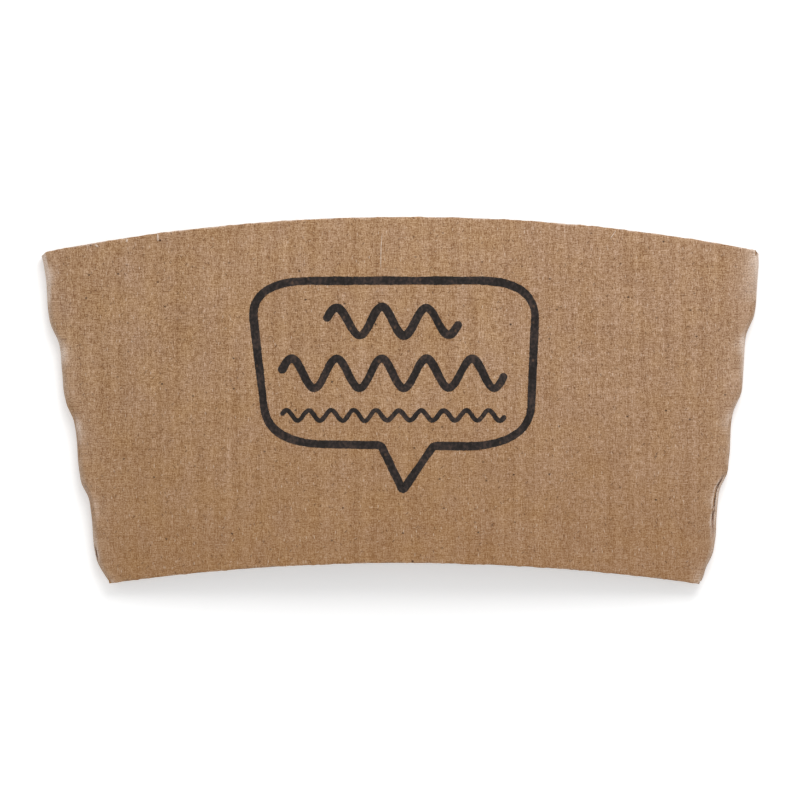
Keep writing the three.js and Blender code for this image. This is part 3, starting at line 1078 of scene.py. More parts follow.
@dataclass(frozen=True)
class Pen:
    """The printing of one line as a thin film on the front.

    Attributes:
        liner: The sheet that it lies on.
        width: Width of the line.
        step: Distance between two stations along it.
        film: Thickness of the ink.
        lift: Height over the liner's face.
        uneven: Share by which the width varies.
        ragged: How far the ink's edges stray.
        columns: Places across the line.
    """

    liner: Liner
    width: float = 0.0014
    step: float = 0.00022
    film: float = 0.00003
    lift: float = 0.00002
    uneven: float = 0.09
    ragged: float = 0.00004
    columns: int = 7

    # Patterns of the width and of the edges, and how closely the edges' one keeps to them.
    BROAD = SmoothNoise(0, 0.0045)
    RAGGED = SmoothNoise(0, 0.00045)
    EDGE_POWER = 4

    # Fewest stations, and the least width of a line's very end, squared.
    FEWEST = 8
    END_LEAST = 0.02

    def half_width(self, at: Array, loop: bool, seed: int) -> Array:
        """Give half the line's width, with round ends where it doesn't close.

        Args:
            at: Lengths along it.
            loop: Whether its end meets its start.
            seed: Picks the hand's unevenness.

        Returns:
            The half width at each length.
        """
        half = self.width / 2 * (1 + self.BROAD.other(seed).along(at) * self.uneven)
        if loop:
            return half
        end = np.clip(np.minimum(at, at[-1] - at) / (self.width / 2), 0, 1)
        return half * np.sqrt(np.clip(1 - (1 - end) ** 2, self.END_LEAST, 1))

    def sheet(self, points: Array, loop: bool, seed: int) -> Sheet:
        """Lay out the film along a line.

        Args:
            points: The line, close together.
            loop: Whether its end meets its start.
            seed: Picks the hand's unevenness.

        Returns:
            The film's two faces.
        """
        legs = np.linalg.norm(np.diff(points, axis=0), axis=1)
        run = np.concatenate([[0.0], np.cumsum(legs)])
        at = np.linspace(0.0, run[-1], max(self.FEWEST, int(run[-1] / self.step)))
        line = np.stack([np.interp(at, run, points[:, 0]), np.interp(at, run, points[:, 1])], 1)
        along = np.gradient(line, axis=0)
        if loop:
            along[0] = along[-1] = line[1] - line[-2]
        along /= np.linalg.norm(along, axis=1)[:, None]
        shares = np.linspace(1.0, -1.0, self.columns)
        edges = [self.RAGGED.other(seed + k).along(at) for k in range(self.columns)]
        offset = self.half_width(at, loop, seed)[:, None] * shares
        offset = offset + self.ragged * np.stack(edges, 1) * np.abs(shares) ** self.EDGE_POWER
        x = line[:, :1] - along[:, 1:] * offset
        y = line[:, 1:] + along[:, :1] * offset
        z = self.liner.front_surface(x, y) + self.lift
        inner = np.stack([x, y, z], -1)[:, ::-1]
        outer = inner + np.array([0.0, 0.0, self.film])
        return Sheet(outer, inner, np.stack([x, y], -1)[:, ::-1], np.abs(shares) + 0 * x)


@dataclass(frozen=True)
class Waves:
    """One row of plain waves.

    Attributes:
        count: Number of waves.
        y: Middle of the row.
        length: Length of one wave.
        height: Height of one wave.
        pen: Width of the line.
        uneven: Share by which the height varies.
        lean: Sideways stray, as a share of the height.
    """

    count: int
    y: float
    length: float = 0.0078
    height: float = 0.0048
    pen: float = 0.0014
    uneven: float = 0.09
    lean: float = 0.03

    # Stations for each wave, patterns along the row, and what makes them differ by row.
    STATIONS = 48
    UNEVEN = SmoothNoise(97, 1.3)
    LEAN = SmoothNoise(98, 0.9)
    ROW_STEP = 1000

    def line(self, x: float) -> Array:
        """Draw the row, with a hand's slight unevenness.

        Args:
            x: Its middle.

        Returns:
            Its points.
        """
        way = np.linspace(0.0, self.count, self.count * self.STATIONS + 1)
        row = way * 0 + self.y * self.ROW_STEP
        uneven = 1 + self.uneven * self.UNEVEN.at(way, row)
        swing = self.height / 2 * np.sin(2 * np.pi * way) * uneven
        lean = self.LEAN.at(way, row) * self.height * self.lean
        return np.stack([x + self.length * (way - self.count / 2) + lean, self.y + swing], 1)


@dataclass(frozen=True)
class Balloon:
    """A plain speech balloon, drawn in one line.

    Attributes:
        width: Between the sharp corners of its top, on the line's middle.
        height: Its height.
        left_lean: Its left side comes in by this much from top to bottom.
        right_lean: The same for its right side.
        corner_rise: How far along a side the rounding of its corners reaches.
        corner_run: How far along its top or bottom.
        x: Centre of its top.
        y: Its middle, above the sleeve's middle.
        tail_width: Width of the tail's root.
        tail_length: Length of the tail.
        tail_x: Middle of the tail's root.
        tail_tip_x: The tail's tip.
        tail_rounding: Rounding at the tail's corners.
        wander: How far the hand strays.
    """

    width: float = 0.0500
    height: float = 0.0286
    left_lean: float = 0.0032
    right_lean: float = 0.0013
    corner_rise: float = 0.0068
    corner_run: float = 0.0110
    x: float = -0.0016
    y: float = 0.0047
    tail_width: float = 0.0092
    tail_length: float = 0.0079
    tail_x: float = 0.0007
    tail_tip_x: float = -0.0001
    tail_rounding: float = 0.0006
    wander: float = 0.00022

    # Stations round each corner, and the pattern of the hand's straying.
    STATIONS = 40
    STRAYING = SmoothNoise(61, 0.011, 0.011)

    def corners(self) -> list[tuple[float, float, float, float]]:
        """List the corners, from the top left one down and round.

        Returns:
            X and Y of each, and how far its rounding reaches before and after it.
        """
        top, bottom = self.y + self.height / 2, self.y - self.height / 2
        left, right = self.x - self.width / 2, self.x + self.width / 2
        rise, run, small = self.corner_rise, self.corner_run, self.tail_rounding
        root = self.tail_width / 2
        return [
            (left, top, run, rise),
            (left + self.left_lean, bottom, rise, run),
            (self.tail_x - root, bottom, small, small),
            (self.tail_tip_x, bottom - self.tail_length, small, small),
            (self.tail_x + root, bottom, small, small),
            (right - self.right_lean, bottom, run, rise),
            (right, top, rise, run),
        ]

    def line(self) -> Array:
        """Draw the closed line, with a hand's slight wander.

        Returns:
            Its points, the last one on the first.
        """
        corners = self.corners()
        way = np.linspace(0.0, 1.0, self.STATIONS)[:, None]
        points: list[Array] = []
        for i, (x, y, before, after) in enumerate(corners):
            here = np.array([x, y])
            last = np.array(corners[i - 1][:2]) - here
            following = np.array(corners[(i + 1) % len(corners)][:2]) - here
            start = here + last / np.linalg.norm(last) * before
            end = here + following / np.linalg.norm(following) * after
            points.extend((1 - way) ** 2 * start + 2 * way * (1 - way) * here + way**2 * end)
        line = np.array([*points, points[0]])
        wander = [self.STRAYING.other(step).at(line[:, 0], line[:, 1]) for step in (0, 1)]
        return line + self.wander * np.stack(wander, 1)


@dataclass(frozen=True)
class Print:
    """The print: a speech balloon round rows of waves.

    Attributes:
        balloon: The balloon.
        rows: The rows, from the top.
    """

    balloon: Balloon = Balloon()
    rows: tuple[Waves, ...] = (
        Waves(3, 0.0119),
        Waves(5, 0.0029),
        Waves(10, -0.0044, 0.0039, 0.0018, 0.0008),
    )


@dataclass(frozen=True)
class Strand:
    """A stray paper fibre, or a sliver torn from a cut edge, lying on the front.

    Attributes:
        x: Its middle.
        y: Its middle, above the sleeve's middle.
        length: Its length.
        angle: Degrees from X.
        width: Its width.
        bend: How far its middle bows out.
        lift: Height over the liner, and its thickness at its edges.
        crown: Its extra thickness, as a share of its width.
    """

    x: float
    y: float
    length: float
    angle: float
    width: float = 0.00016
    bend: float = 0.0002
    lift: float = 0.00002
    crown: float = 0.4

    # Stations along it, and how blunt its ends are: 1 would be a point.
    STATIONS = 17
    BLUNTNESS = 1.02

    def sheet(self, liner: Liner) -> Sheet:
        """Lay it on the liner as a tapered sliver.

        Args:
            liner: The sheet that it lies on.

        Returns:
            Its two faces.
        """
        way = np.linspace(-1.0, 1.0, self.STATIONS)[:, None]
        turn = math.radians(self.angle)
        along = way * self.length / 2
        taper = np.sqrt(np.clip(self.BLUNTNESS - way**2, 0, 1))
        aside = self.bend * (1 - way**2) + self.width / 2 * taper * np.array([1.0, 0.0, -1.0])
        x = self.x + along * math.cos(turn) - aside * math.sin(turn)
        y = self.y + along * math.sin(turn) + aside * math.cos(turn)
        z = liner.front_surface(x, y) + self.lift
        crown = np.array([0.0, 1.0, 0.0]) * self.width * self.crown
        outer, inner = np.stack([x, y, z + crown + self.lift], -1), np.stack([x, y, z], -1)
        return Sheet(outer, inner, np.stack([x, y], -1), 0 * x + 1).flipped()


@dataclass(frozen=True)
class Grain:
    """One layer of a finish's mottling.

    Attributes:
        cell_x: Length of one blot along X.
        cell_y: Length of one blot along Y.
        move: Shifts the pattern, so that no two layers match.
        detail: Finer copies laid over it.
        weight: Its part in the whole.
    """

    cell_x: float
    cell_y: float
    move: float = 0.0
    detail: float = 0.0
    weight: float = 1.0


@dataclass(frozen=True)
class Fleck:
    """Sparse small flecks of one kind.

    Attributes:
        cell: Distance between two places that may hold one.
        radius: Reach of one.
        share: Share of the places that hold one.
        strength: How much of its colour shows.
        tone: Its colour, 0 to 255.
        stretch: Its size along Y, as a share of that along X.
        turn: Degrees that its length is turned by.
        move: Shifts the pattern.
    """

    cell: float
    radius: float
    share: float
    strength: float
    tone: Rgb
    stretch: float
    turn: float
    move: float


class Graph:
    """Short calls that build the nodes of a material or of the world."""

    # A pattern's shift along Y for one along X, and the colour sockets of a Mix node.
    SIDEWAYS = 0.7
    MIX_FIRST, MIX_SECOND, MIX_RESULT = 6, 7, 2

    # A fleck's edge, and the start and rise of its own random strength.
    FLECK_EDGE = 0.35
    FLECK_START, FLECK_RISE = 0.45, 0.55

    def __init__(self, owner: bpy.types.Material | bpy.types.World) -> None:
        """Start on its node tree.

        Args:
            owner: The new material or world.
        """
        owner.use_nodes = True
        self.owner = owner
        self.tree = owner.node_tree
        last = "Background" if isinstance(owner, bpy.types.World) else "Principled BSDF"
        self.shader = self.tree.nodes[last]

    def link(self, source: Socket | float | Sequence[float], target: Socket) -> None:
        """Join an output to an input, or set the input to a plain value.

        Args:
            source: The output, number or colour.
            target: The input.
        """
        if isinstance(source, Socket):
            self.tree.links.new(source, target)
        elif isinstance(source, tuple) and len(source) == 3 and len(target.default_value) == 4:
            target.default_value = (*source, 1.0)
        else:
            target.default_value = source

    def math(self, operation: str, *values: Socket | float, clamp: bool = False) -> Socket:
        """Add one sum.

        Args:
            operation: Blender's name for it.
            *values: What goes in.
            clamp: Whether the result is kept from 0 to 1.

        Returns:
            The result.
        """
        node = self.tree.nodes.new("ShaderNodeMath")
        node.operation, node.use_clamp = operation, clamp
        for value, socket in zip(values, node.inputs):
            self.link(value, socket)
        return node.outputs[0]

    def total(self, *terms: tuple[Socket, float]) -> Socket:
        """Add up sockets, each by its own weight.

        Args:
            *terms: Sockets and weights.

        Returns:
            The sum.
        """
        value: Socket | float = 0.0
        for socket, weight in terms:
            value = self.math("MULTIPLY_ADD", socket, weight, value)
        return value

    def blank(self) -> Socket:
        """Read the place on the flat blank, in the map's unit.

        Returns:
            The place.
        """
        node = self.tree.nodes.new("ShaderNodeUVMap")
        node.uv_map = BLANK_MAP
        return node.outputs[0]

    def wear_and_highlight(self) -> Socket:
        """Read the paleness from rubbed paper and painted highlight.

        Returns:
            That paleness, from 0 to 1.
        """
        node = self.tree.nodes.new("ShaderNodeAttribute")
        node.attribute_name = RUB
        return node.outputs["Fac"]

    def parts(self, place: Socket) -> tuple[Socket, Socket]:
        """Split a place.

        Args:
            place: The place.

        Returns:
            Its X and its Y.
        """
        node = self.tree.nodes.new("ShaderNodeSeparateXYZ")
        self.link(place, node.inputs[0])
        return node.outputs[0], node.outputs[1]

    def turned(self, place: Socket, degrees: float) -> Socket:
        """Turn the place.

        Args:
            place: The place.
            degrees: How far.

        Returns:
            The turned place.
        """
        node = self.tree.nodes.new("ShaderNodeMapping")
        self.link(place, node.inputs["Vector"])
        node.inputs["Rotation"].default_value = (0.0, 0.0, math.radians(degrees))
        return node.outputs[0]

    def in_cells(self, place: Socket, cell_x: float, cell_y: float, move: float) -> Socket:
        """Count the place in cells of a pattern.

        Args:
            place: The place.
            cell_x: Length of a cell along X.
            cell_y: Length of a cell along Y.
            move: Shifts the pattern.

        Returns:
            The place in cells.
        """
        node = self.tree.nodes.new("ShaderNodeMapping")
        self.link(place, node.inputs["Vector"])
        node.inputs["Scale"].default_value = (MAP_UNIT / cell_x, MAP_UNIT / cell_y, 1.0)
        node.inputs["Location"].default_value = (move, move * self.SIDEWAYS, 0.0)
        return node.outputs[0]

    def noise(self, place: Socket, grain: Grain) -> Socket:
        """Add a layer of noise.

        Args:
            place: The place.
            grain: Its sizes.

        Returns:
            The noise, around 0.
        """
        node = self.tree.nodes.new("ShaderNodeTexNoise")
        node.noise_dimensions = "2D"
        self.link(self.in_cells(place, grain.cell_x, grain.cell_y, grain.move), node.inputs["Vector"])
        node.inputs["Scale"].default_value = 1.0
        node.inputs["Detail"].default_value = grain.detail
        return self.math("SUBTRACT", node.outputs["Fac"], 0.5)

    def flecked(self, colour: Socket, place: Socket, fleck: Fleck) -> Socket:
        """Lay flecks over a colour.

        Args:
            colour: The colour under them.
            place: The place.
            fleck: Their sizes and tone.

        Returns:
            The colour with the flecks.
        """
        place = self.turned(place, fleck.turn) if fleck.turn else place
        node = self.tree.nodes.new("ShaderNodeTexVoronoi")
        node.voronoi_dimensions = "2D"
        cells = self.in_cells(place, fleck.cell, fleck.cell * fleck.stretch, fleck.move)
        self.link(cells, node.inputs["Vector"])
        node.inputs["Scale"].default_value = 1.0
        node.inputs["Randomness"].default_value = 1.0
        away = self.math("DIVIDE", node.outputs["Distance"], fleck.radius / fleck.cell)
        near = self.math("POWER", self.math("SUBTRACT", 1.0, away, clamp=True), self.FLECK_EDGE)
        split = self.tree.nodes.new("ShaderNodeSeparateColor")
        self.link(node.outputs["Color"], split.inputs[0])
        chosen = self.math("LESS_THAN", split.outputs[0], fleck.share)
        strength = self.math("MULTIPLY_ADD", split.outputs[1], self.FLECK_RISE, self.FLECK_START)
        spot = self.math("MULTIPLY", near, self.math("MULTIPLY", chosen, strength), clamp=True)
        return self.mix(self.math("MULTIPLY", spot, fleck.strength), colour, from_srgb(*fleck.tone))

    def ramp(self, value: Socket, stops: Sequence[tuple[float, Colour]]) -> Socket:
        """Turn a number into a colour.

        Args:
            value: The number.
            stops: Numbers and their colours.

        Returns:
            The colour.
        """
        node = self.tree.nodes.new("ShaderNodeValToRGB")
        elements = node.color_ramp.elements
        while len(elements) < len(stops):
            elements.new(0.5)
        for element, (place, colour) in zip(elements, stops):
            element.position, element.color = place, (*colour, 1.0)
        self.link(value, node.inputs[0])
        return node.outputs[0]

    def mix(self, share: Socket, first: Socket, second: Colour, blend: str = "MIX") -> Socket:
        """Mix two colours.

        Args:
            share: How much of the second shows.
            first: The first.
            second: The second.
            blend: Blender's name for the way of mixing.

        Returns:
            The mixed colour.
        """
        node = self.tree.nodes.new("ShaderNodeMix")
        node.data_type, node.blend_type = "RGBA", blend
        self.link(share, node.inputs[0])
        self.link(first, node.inputs[self.MIX_FIRST])
        self.link(second, node.inputs[self.MIX_SECOND])
        return node.outputs[self.MIX_RESULT]

    def seen(self) -> Socket:
        """Tell the rays that show the backdrop from those that light the object.

        Returns:
            1 for a straight, mirrored or let-through ray, 0 for the others.
        """
        rays = self.tree.nodes.new("ShaderNodeLightPath")
        share = self.math("ADD", rays.outputs["Is Camera Ray"], rays.outputs["Is Glossy Ray"])
        return self.math("ADD", share, rays.outputs["Is Transmission Ray"], clamp=True)

    def bump(self, height: Socket, distance: float) -> None:
        """Bump the shader's normal.

        Args:
            height: The height, in the distance's unit.
            distance: How high 1 is.
        """
        node = self.tree.nodes.new("ShaderNodeBump")
        node.inputs["Distance"].default_value = distance
        self.link(height, node.inputs["Height"])
        self.link(node.outputs["Normal"], self.shader.inputs["Normal"])

    def finish(
        self, colour: Socket | Colour, roughness: Socket | float, specular: float
    ) -> bpy.types.Material:
        """Set the shader.

        Args:
            colour: Its base colour.
            roughness: Its roughness.
            specular: Its specular level.

        Returns:
            The material.
        """
        self.link(colour, self.shader.inputs["Base Color"])
        self.link(roughness, self.shader.inputs["Roughness"])
        self.shader.inputs["Specular IOR Level"].default_value = specular
        return self.owner


@dataclass(frozen=True)
class KraftFinish:
    """Brown unbleached paper with fibres, specks, streaks along the flutes, and painted shade in the
    hollows between them.

    Attributes:
        name: The material's name.
        shade: Brightness against the liner's own.
        grain: Strength of the mottling.
        pitch: Length of one flute.
        flute_shade: Painted shade that follows the flutes, darkest in the hollows between them.
        bump: Height of the fibres' relief.
        roughness: Its middle roughness.
        patchiness: How much the roughness varies.
        specular: Its specular level.
    """

    name: str
    shade: float = 1.0
    grain: float = 1.0
    pitch: float = 0.00339
    flute_shade: float = 0.026
    bump: float = 0.00005
    roughness: float = 0.86
    patchiness: float = 0.2
    specular: float = 0.25

    # The colours from the darkest to the palest blot.
    STOPS = (
        (0.0, (128, 90, 60)),
        (0.25, (149, 112, 81)),
        (0.5, (168, 133, 103)),
        (0.75, (185, 151, 123)),
        (1.0, (203, 171, 147)),
    )

    # The mottling: fibres, blots, and the bands and streaks that run along the flutes.
    FINE = Grain(0.00021, 0.00023, 3.1, 0.0, 0.84)
    ACROSS = Grain(0.0010, 0.00024, 7.7, 0.0, 0.48)
    ALONG = Grain(0.00024, 0.0011, 5.3, 0.0, 0.54)
    SMALL = Grain(0.0007, 0.0009, 1.9, 1.0, 0.16)
    MIDDLE = Grain(0.0024, 0.0030, 8.2, 1.0, 0.14)
    LARGE = Grain(0.0095, 0.0100, 2.4, 1.0, 0.12)
    BANDS = Grain(1 / 2.6, 0.030, 4.6, 1.0, 0.23)
    STREAKS = Grain(0.0006, 0.012, 6.6, 0.0, 0.18)
    LINES = Grain(0.009, 0.0006, 9.9, 0.0, 0.14)

    # It is browner towards the narrow edge: slope and start of that, and its colour.
    BROWNER_SLOPE, BROWNER_START = -0.95, 0.05
    BROWNER = (146, 102, 56)

    # It is warmer on the left, between a most and a least, and in blots.
    WARMER_SLOPE, WARMER_START = -0.60, 0.24
    WARMER_MOST, WARMER_LEAST = 0.20, 0.07
    WARMER_BLOTS = Grain(0.0044, 0.0058, 14.2, 2.0, 0.62)
    WARMER_TINT = (1.06, 0.985, 0.60)

    # Colour of rubbed paper and of the painted highlight on the creases, and how its fibres show.
    RUBBED = (230, 210, 194)
    RUBBED_FIBRES, RUBBED_START = 0.9, 0.74

    FLECKS = (
        Fleck(0.0062, 0.00023, 0.40, 1.0, (42, 28, 20), 0.8, 0.0, 11.0),
        Fleck(0.0034, 0.00030, 0.40, 0.85, (84, 55, 36), 0.3, 67.0, 24.0),
        Fleck(0.0047, 0.00036, 0.34, 0.70, (78, 51, 33), 0.3, 134.0, 37.0),
        Fleck(0.0039, 0.00026, 0.40, 0.75, (88, 58, 38), 0.3, 201.0, 50.0),
        Fleck(0.0043, 0.00030, 0.42, 0.65, (226, 203, 182), 0.3, 268.0, 63.0),
        Fleck(0.0051, 0.00024, 0.45, 0.60, (220, 196, 174), 0.3, 335.0, 76.0),
    )

    # How much the small blots and the three kinds of fibre stand out.
    RELIEF = (0.5, 0.5, 0.4, 0.5)

    def make(self) -> bpy.types.Material:
        """Build the material.

        Returns:
            The material.
        """
        g = Graph(bpy.data.materials.new(self.name))
        place = g.blank()
        bands = replace(self.BANDS, cell_x=self.BANDS.cell_x * self.pitch)
        layers = (self.FINE, self.ACROSS, self.ALONG, self.SMALL, self.MIDDLE, self.LARGE)
        layers = (*layers, bands, self.STREAKS, self.LINES)
        sockets = [g.noise(place, layer) for layer in layers]
        fine, across, along, small, middle = sockets[:5]
        x, y = g.parts(place)
        # Painted shade of the washboard: darker in the liner's hollows between the flutes, paler on
        # their tops.
        wave = g.math("COSINE", g.math("MULTIPLY", x, 2 * math.pi * MAP_UNIT / self.pitch))
        terms = [(socket, layer.weight * self.grain) for socket, layer in zip(sockets, layers)]
        value = g.math("ADD", g.total(*terms, (wave, self.flute_shade)), 0.5, clamp=True)
        stops = [(at, tuple(self.shade * c for c in from_srgb(*rgb))) for at, rgb in self.STOPS]
        colour = self.toned(g, g.ramp(value, stops), place, x, y)
        for fleck in self.FLECKS:
            colour = g.flecked(colour, place, fleck)
        # Lay the paleness of rubbed paper and painted highlight over the colour.
        fibres = g.math("MULTIPLY_ADD", fine, self.RUBBED_FIBRES, self.RUBBED_START)
        rub_and_highlight_share = g.math("MULTIPLY", g.wear_and_highlight(), fibres, clamp=True)
        colour = g.mix(rub_and_highlight_share, colour, from_srgb(*self.RUBBED))
        g.bump(g.total(*zip((small, along, across, fine), self.RELIEF)), self.bump)
        roughness = g.math("MULTIPLY_ADD", middle, self.patchiness, self.roughness)
        return g.finish(colour, roughness, self.specular)

    def toned(self, g: Graph, colour: Socket, place: Socket, x: Socket, y: Socket) -> Socket:
        """Make the colour browner towards the narrow edge and warmer on the left.

        Args:
            g: The material's nodes.
            colour: The colour.
            place: The place on the blank.
            x: Its X.
            y: Its Y.

        Returns:
            The toned colour.
        """
        browner = g.math("MULTIPLY_ADD", y, self.BROWNER_SLOPE, self.BROWNER_START, clamp=True)
        colour = g.mix(browner, colour, from_srgb(*self.BROWNER))
        warmer = g.math("MULTIPLY_ADD", x, self.WARMER_SLOPE, self.WARMER_START)
        warmer = g.math("MAXIMUM", g.math("MINIMUM", warmer, self.WARMER_MOST), self.WARMER_LEAST)
        blots = g.noise(place, self.WARMER_BLOTS)
        warmer = g.math("MULTIPLY_ADD", blots, self.WARMER_BLOTS.weight, warmer, clamp=True)
        return g.mix(warmer, colour, self.WARMER_TINT, "MULTIPLY")


@dataclass(frozen=True)
class InkFinish:
    """Matt dark ink, uneven and with small missed spots.

    Attributes:
        name: The material's name.
        bump: Height of its relief.
        roughness: Its roughness.
        specular: Its specular level.
    """

    name: str = "dark_ink"
    bump: float = 0.00003
    roughness: float = 0.80
    specular: float = 0.25

    STOPS = ((0.2, (24, 18, 14)), (0.5, (39, 33, 31)), (0.85, (66, 53, 47)))
    SMALL = Grain(0.0005, 0.0006, 0.0, 1.0, 1.0)
    MIDDLE = Grain(0.0022, 0.004, 4.0, 1.0, 0.8)
    MISSED = Fleck(0.0015, 0.00022, 0.30, 0.45, (120, 92, 70), 1.3, 0.0, 9.0)

    def make(self) -> bpy.types.Material:
        """Build the material.

        Returns:
            The material.
        """
        g = Graph(bpy.data.materials.new(self.name))
        place = g.blank()
        small, middle = g.noise(place, self.SMALL), g.noise(place, self.MIDDLE)
        value = g.total((small, self.SMALL.weight), (middle, self.MIDDLE.weight))
        value = g.math("ADD", value, 0.5, clamp=True)
        colour = g.ramp(value, [(at, from_srgb(*rgb)) for at, rgb in self.STOPS])
        colour = g.flecked(colour, place, self.MISSED)
        g.bump(small, self.bump)
        return g.finish(colour, self.roughness, self.specular)


@dataclass(frozen=True)
class PaleFibreFinish:
    """The paler torn paper of slivers and stray fibres.

    Attributes:
        name: The material's name.
        bump: Height of its relief.
        roughness: Its roughness.
        specular: Its specular level.
    """

    name: str = "torn_paper"
    bump: float = 0.00003
    roughness: float = 0.9
    specular: float = 0.2

    STOPS = ((0.2, (206, 180, 158)), (0.8, (232, 212, 194)))
    GRAIN = Grain(0.0003, 0.0006, 0.0, 1.0)

    def make(self) -> bpy.types.Material:
        """Build the material.

        Returns:
            The material.
        """
        g = Graph(bpy.data.materials.new(self.name))
        grain = g.noise(g.blank(), self.GRAIN)
        colour = g.ramp(g.math("ADD", grain, 0.5), [(at, from_srgb(*rgb)) for at, rgb in self.STOPS])
        g.bump(grain, self.bump)
        return g.finish(colour, self.roughness, self.specular)


@dataclass(frozen=True)
class Sleeve:
    """The whole sleeve: liner, flutes, print and loose fibres.

    Attributes:
        form: Its outline and heights.
        stage: Where it lies.
        design: Its print.
        strands: Its loose fibres: one long, one short, and slivers of the wide edge.
        inside_shade: Brightness of the flutes' paper against the liner's.
        inside_grain: Strength of its mottling.
    """

    form: SleeveForm
    stage: Stage
    design: Print = Print()
    strands: tuple[Strand, ...] = (
        Strand(-0.0036, 0.0240, 0.0066, 88.0, 0.00013, 0.00012),
        Strand(0.0366, 0.0270, 0.0018, 56.0, 0.00015, 0.0),
        Strand(-0.0425, 0.0266, 0.0015, 92.0, 0.00030, 0.0),
        Strand(-0.0479, 0.0260, 0.0006, 75.0, 0.00032, 0.0),
        Strand(-0.0532, 0.0251, 0.0007, -35.0, 0.00030, 0.0),
    )
    inside_shade: float = 0.93
    inside_grain: float = 0.8

    # The panels that hold flutes, by the crease that each is folded over at.
    PANELS = (
        ("front_flutes", None),
        ("outer_flap_flutes", Side.LEFT),
        ("inner_flap_flutes", Side.RIGHT),
    )

    # Seeds of the hand's unevenness in the balloon and in each row of waves.
    BALLOON_SEED = 71
    WAVE_SEED, WAVE_SEED_STEP = 80, 9

    def build(self) -> None:
        """Make every piece, give each its finish and set it on the frame."""
        liner = Liner(self.form, Relief(self.form), WearAndHighlight(self.form))
        self.build_board(liner)
        self.build_print(liner)
        torn = PaleFibreFinish().make()
        for i, strand in enumerate(self.strands, start=1):
            self.add(f"fibre_{i}", strand.sheet(liner), torn, Slot.BOARD)

    def build_board(self, liner: Liner) -> None:
        """Make the liner and its flutes.

        Args:
            liner: The outer sheet.
        """
        self.add("liner", liner.sheet(), KraftFinish("kraft_liner").make(), Slot.BOARD, "sleeve")
        inside = KraftFinish("kraft_fluting", self.inside_shade, self.inside_grain).make()
        for name, side in self.PANELS:
            self.add(name, Fluting(self.form, side).sheet(), inside, Slot.BOARD)

    def build_print(self, liner: Liner) -> None:
        """Make the balloon and the rows of waves.

        Args:
            liner: The sheet that they lie on.
        """
        ink, balloon = InkFinish().make(), self.design.balloon
        film = Pen(liner).sheet(balloon.line(), True, self.BALLOON_SEED)
        self.add("balloon_ink", film, ink, Slot.INK, "printed_balloon")
        for i, row in enumerate(self.design.rows, start=1):
            seed = self.WAVE_SEED + self.WAVE_SEED_STEP * i
            film = Pen(liner, row.pen).sheet(row.line(balloon.x), False, seed)
            self.add(f"wave_ink_{i}", film, ink, Slot.INK, f"printed_wave_{i}")

    def add(
        self, name: str, sheet: Sheet, finish: bpy.types.Material, slot: Slot, node: str = ""
    ) -> None:
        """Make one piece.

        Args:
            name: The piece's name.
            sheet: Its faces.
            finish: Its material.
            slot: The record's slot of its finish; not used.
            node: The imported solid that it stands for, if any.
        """
        piece = self.stage.mesh(name, sheet)
        piece.data.materials.append(finish)
        if node:
            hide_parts(node)
        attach(piece, BODY)
        log.info("%s: %d faces", name, len(piece.data.polygons))


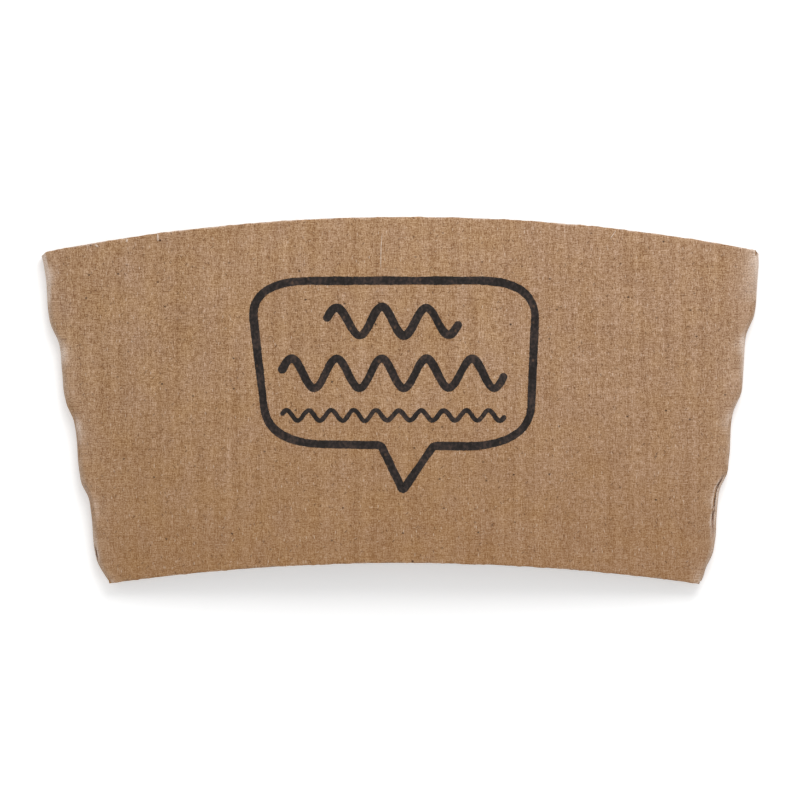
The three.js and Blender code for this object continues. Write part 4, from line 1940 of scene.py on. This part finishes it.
@dataclass(frozen=True)
class Studio:
    """White floor, soft light and a camera straight above.

    Attributes:
        field: Width of the view at the printed face.
        face_height: Height of that face over the floor.
        distance: From the camera to the face.
        camera_y: How far above the sleeve's middle the camera stands.
        sensor: Width of the camera's sensor, in millimetres.
        near: Nearest that the camera sees.
        far: Farthest that it sees.
        floor_half: Half the floor's width.
        floor_drop: How far the floor lies under the sleeve.
        floor_shade: Its colour, the same in red, green and blue.
        floor_roughness: Its roughness.
        floor_specular: Its specular level.
        floor_lift: White that the camera sees on top of the floor's own light.
        surround: Strength of the even light from all round.
        key_place: Where the key light stands.
        key_size: Its side.
        key_power: Its power, in watts.
    """

    field: float = 0.1391
    face_height: float = 0.0060
    distance: float = 1.2
    camera_y: float = 0.00026
    sensor: float = 36.0
    near: float = 0.01
    far: float = 10.0
    floor_half: float = 1.5
    floor_drop: float = 0.00002
    floor_shade: float = 0.93
    floor_roughness: float = 0.9
    floor_specular: float = 0.1
    floor_lift: float = 0.32
    surround: float = 0.62
    key_place: tuple[float, float, float] = (0.085, 0.26, 0.30)
    key_size: float = 0.25
    key_power: float = 0.88

    def build(self) -> None:
        """Make the floor, surroundings, light and camera."""
        self.add_floor()
        self.add_surroundings()
        self.add_key_light()
        self.add_camera()

    def add_floor(self) -> None:
        """Add the floor that the sleeve lies on."""
        half = self.floor_half
        mesh = bpy.data.meshes.new("floor")
        corners = [(-half, -half, 0.0), (half, -half, 0.0), (half, half, 0.0), (-half, half, 0.0)]
        mesh.from_pydata(corners, [], [(0, 1, 2, 3)])
        floor = bpy.data.objects.new("floor", mesh)
        bpy.context.scene.collection.objects.link(floor)
        floor.location.z = -self.floor_drop
        g = Graph(bpy.data.materials.new("white_floor"))
        g.link(WHITE, g.shader.inputs["Emission Color"])
        g.link(g.math("MULTIPLY", g.seen(), self.floor_lift), g.shader.inputs["Emission Strength"])
        shade = (self.floor_shade, self.floor_shade, self.floor_shade)
        mesh.materials.append(g.finish(shade, self.floor_roughness, self.floor_specular))

    def add_surroundings(self) -> None:
        """Light the scene evenly from all round, with white behind it for the rays that show it."""
        world = bpy.data.worlds.new("studio")
        g = Graph(world)
        g.link(WHITE, g.shader.inputs["Color"])
        strength = g.math("MULTIPLY_ADD", g.seen(), 1.0 - self.surround, self.surround)
        g.link(strength, g.shader.inputs["Strength"])
        bpy.context.scene.world = world

    def add_key_light(self) -> None:
        """Add a soft square light that faces the sleeve."""
        data = bpy.data.lights.new("key_light", "AREA")
        data.size, data.energy = self.key_size, self.key_power
        light = bpy.data.objects.new("key_light", data)
        light.location = self.key_place
        light.rotation_euler = (-Vector(self.key_place)).to_track_quat("-Z", "Y").to_euler()
        bpy.context.scene.collection.objects.link(light)

    def add_camera(self) -> None:
        """Add the camera, looking straight down with +Y up in the picture."""
        data = bpy.data.cameras.new("camera")
        data.sensor_width = self.sensor
        data.lens = self.sensor * self.distance / self.field
        data.clip_start, data.clip_end = self.near, self.far
        camera = bpy.data.objects.new("camera", data)
        camera.location = (0.0, self.camera_y, self.face_height + self.distance)
        bpy.context.scene.collection.objects.link(camera)
        bpy.context.scene.camera = camera


def main() -> None:
    """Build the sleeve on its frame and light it."""
    logging.basicConfig(level=logging.INFO, format="%(name)s: %(message)s")
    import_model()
    bpy.context.scene.view_settings.view_transform = "Standard"
    form = SleeveForm()
    Sleeve(form, Stage(form)).build()
    Studio().build()


if __name__ == "__main__":
    main()
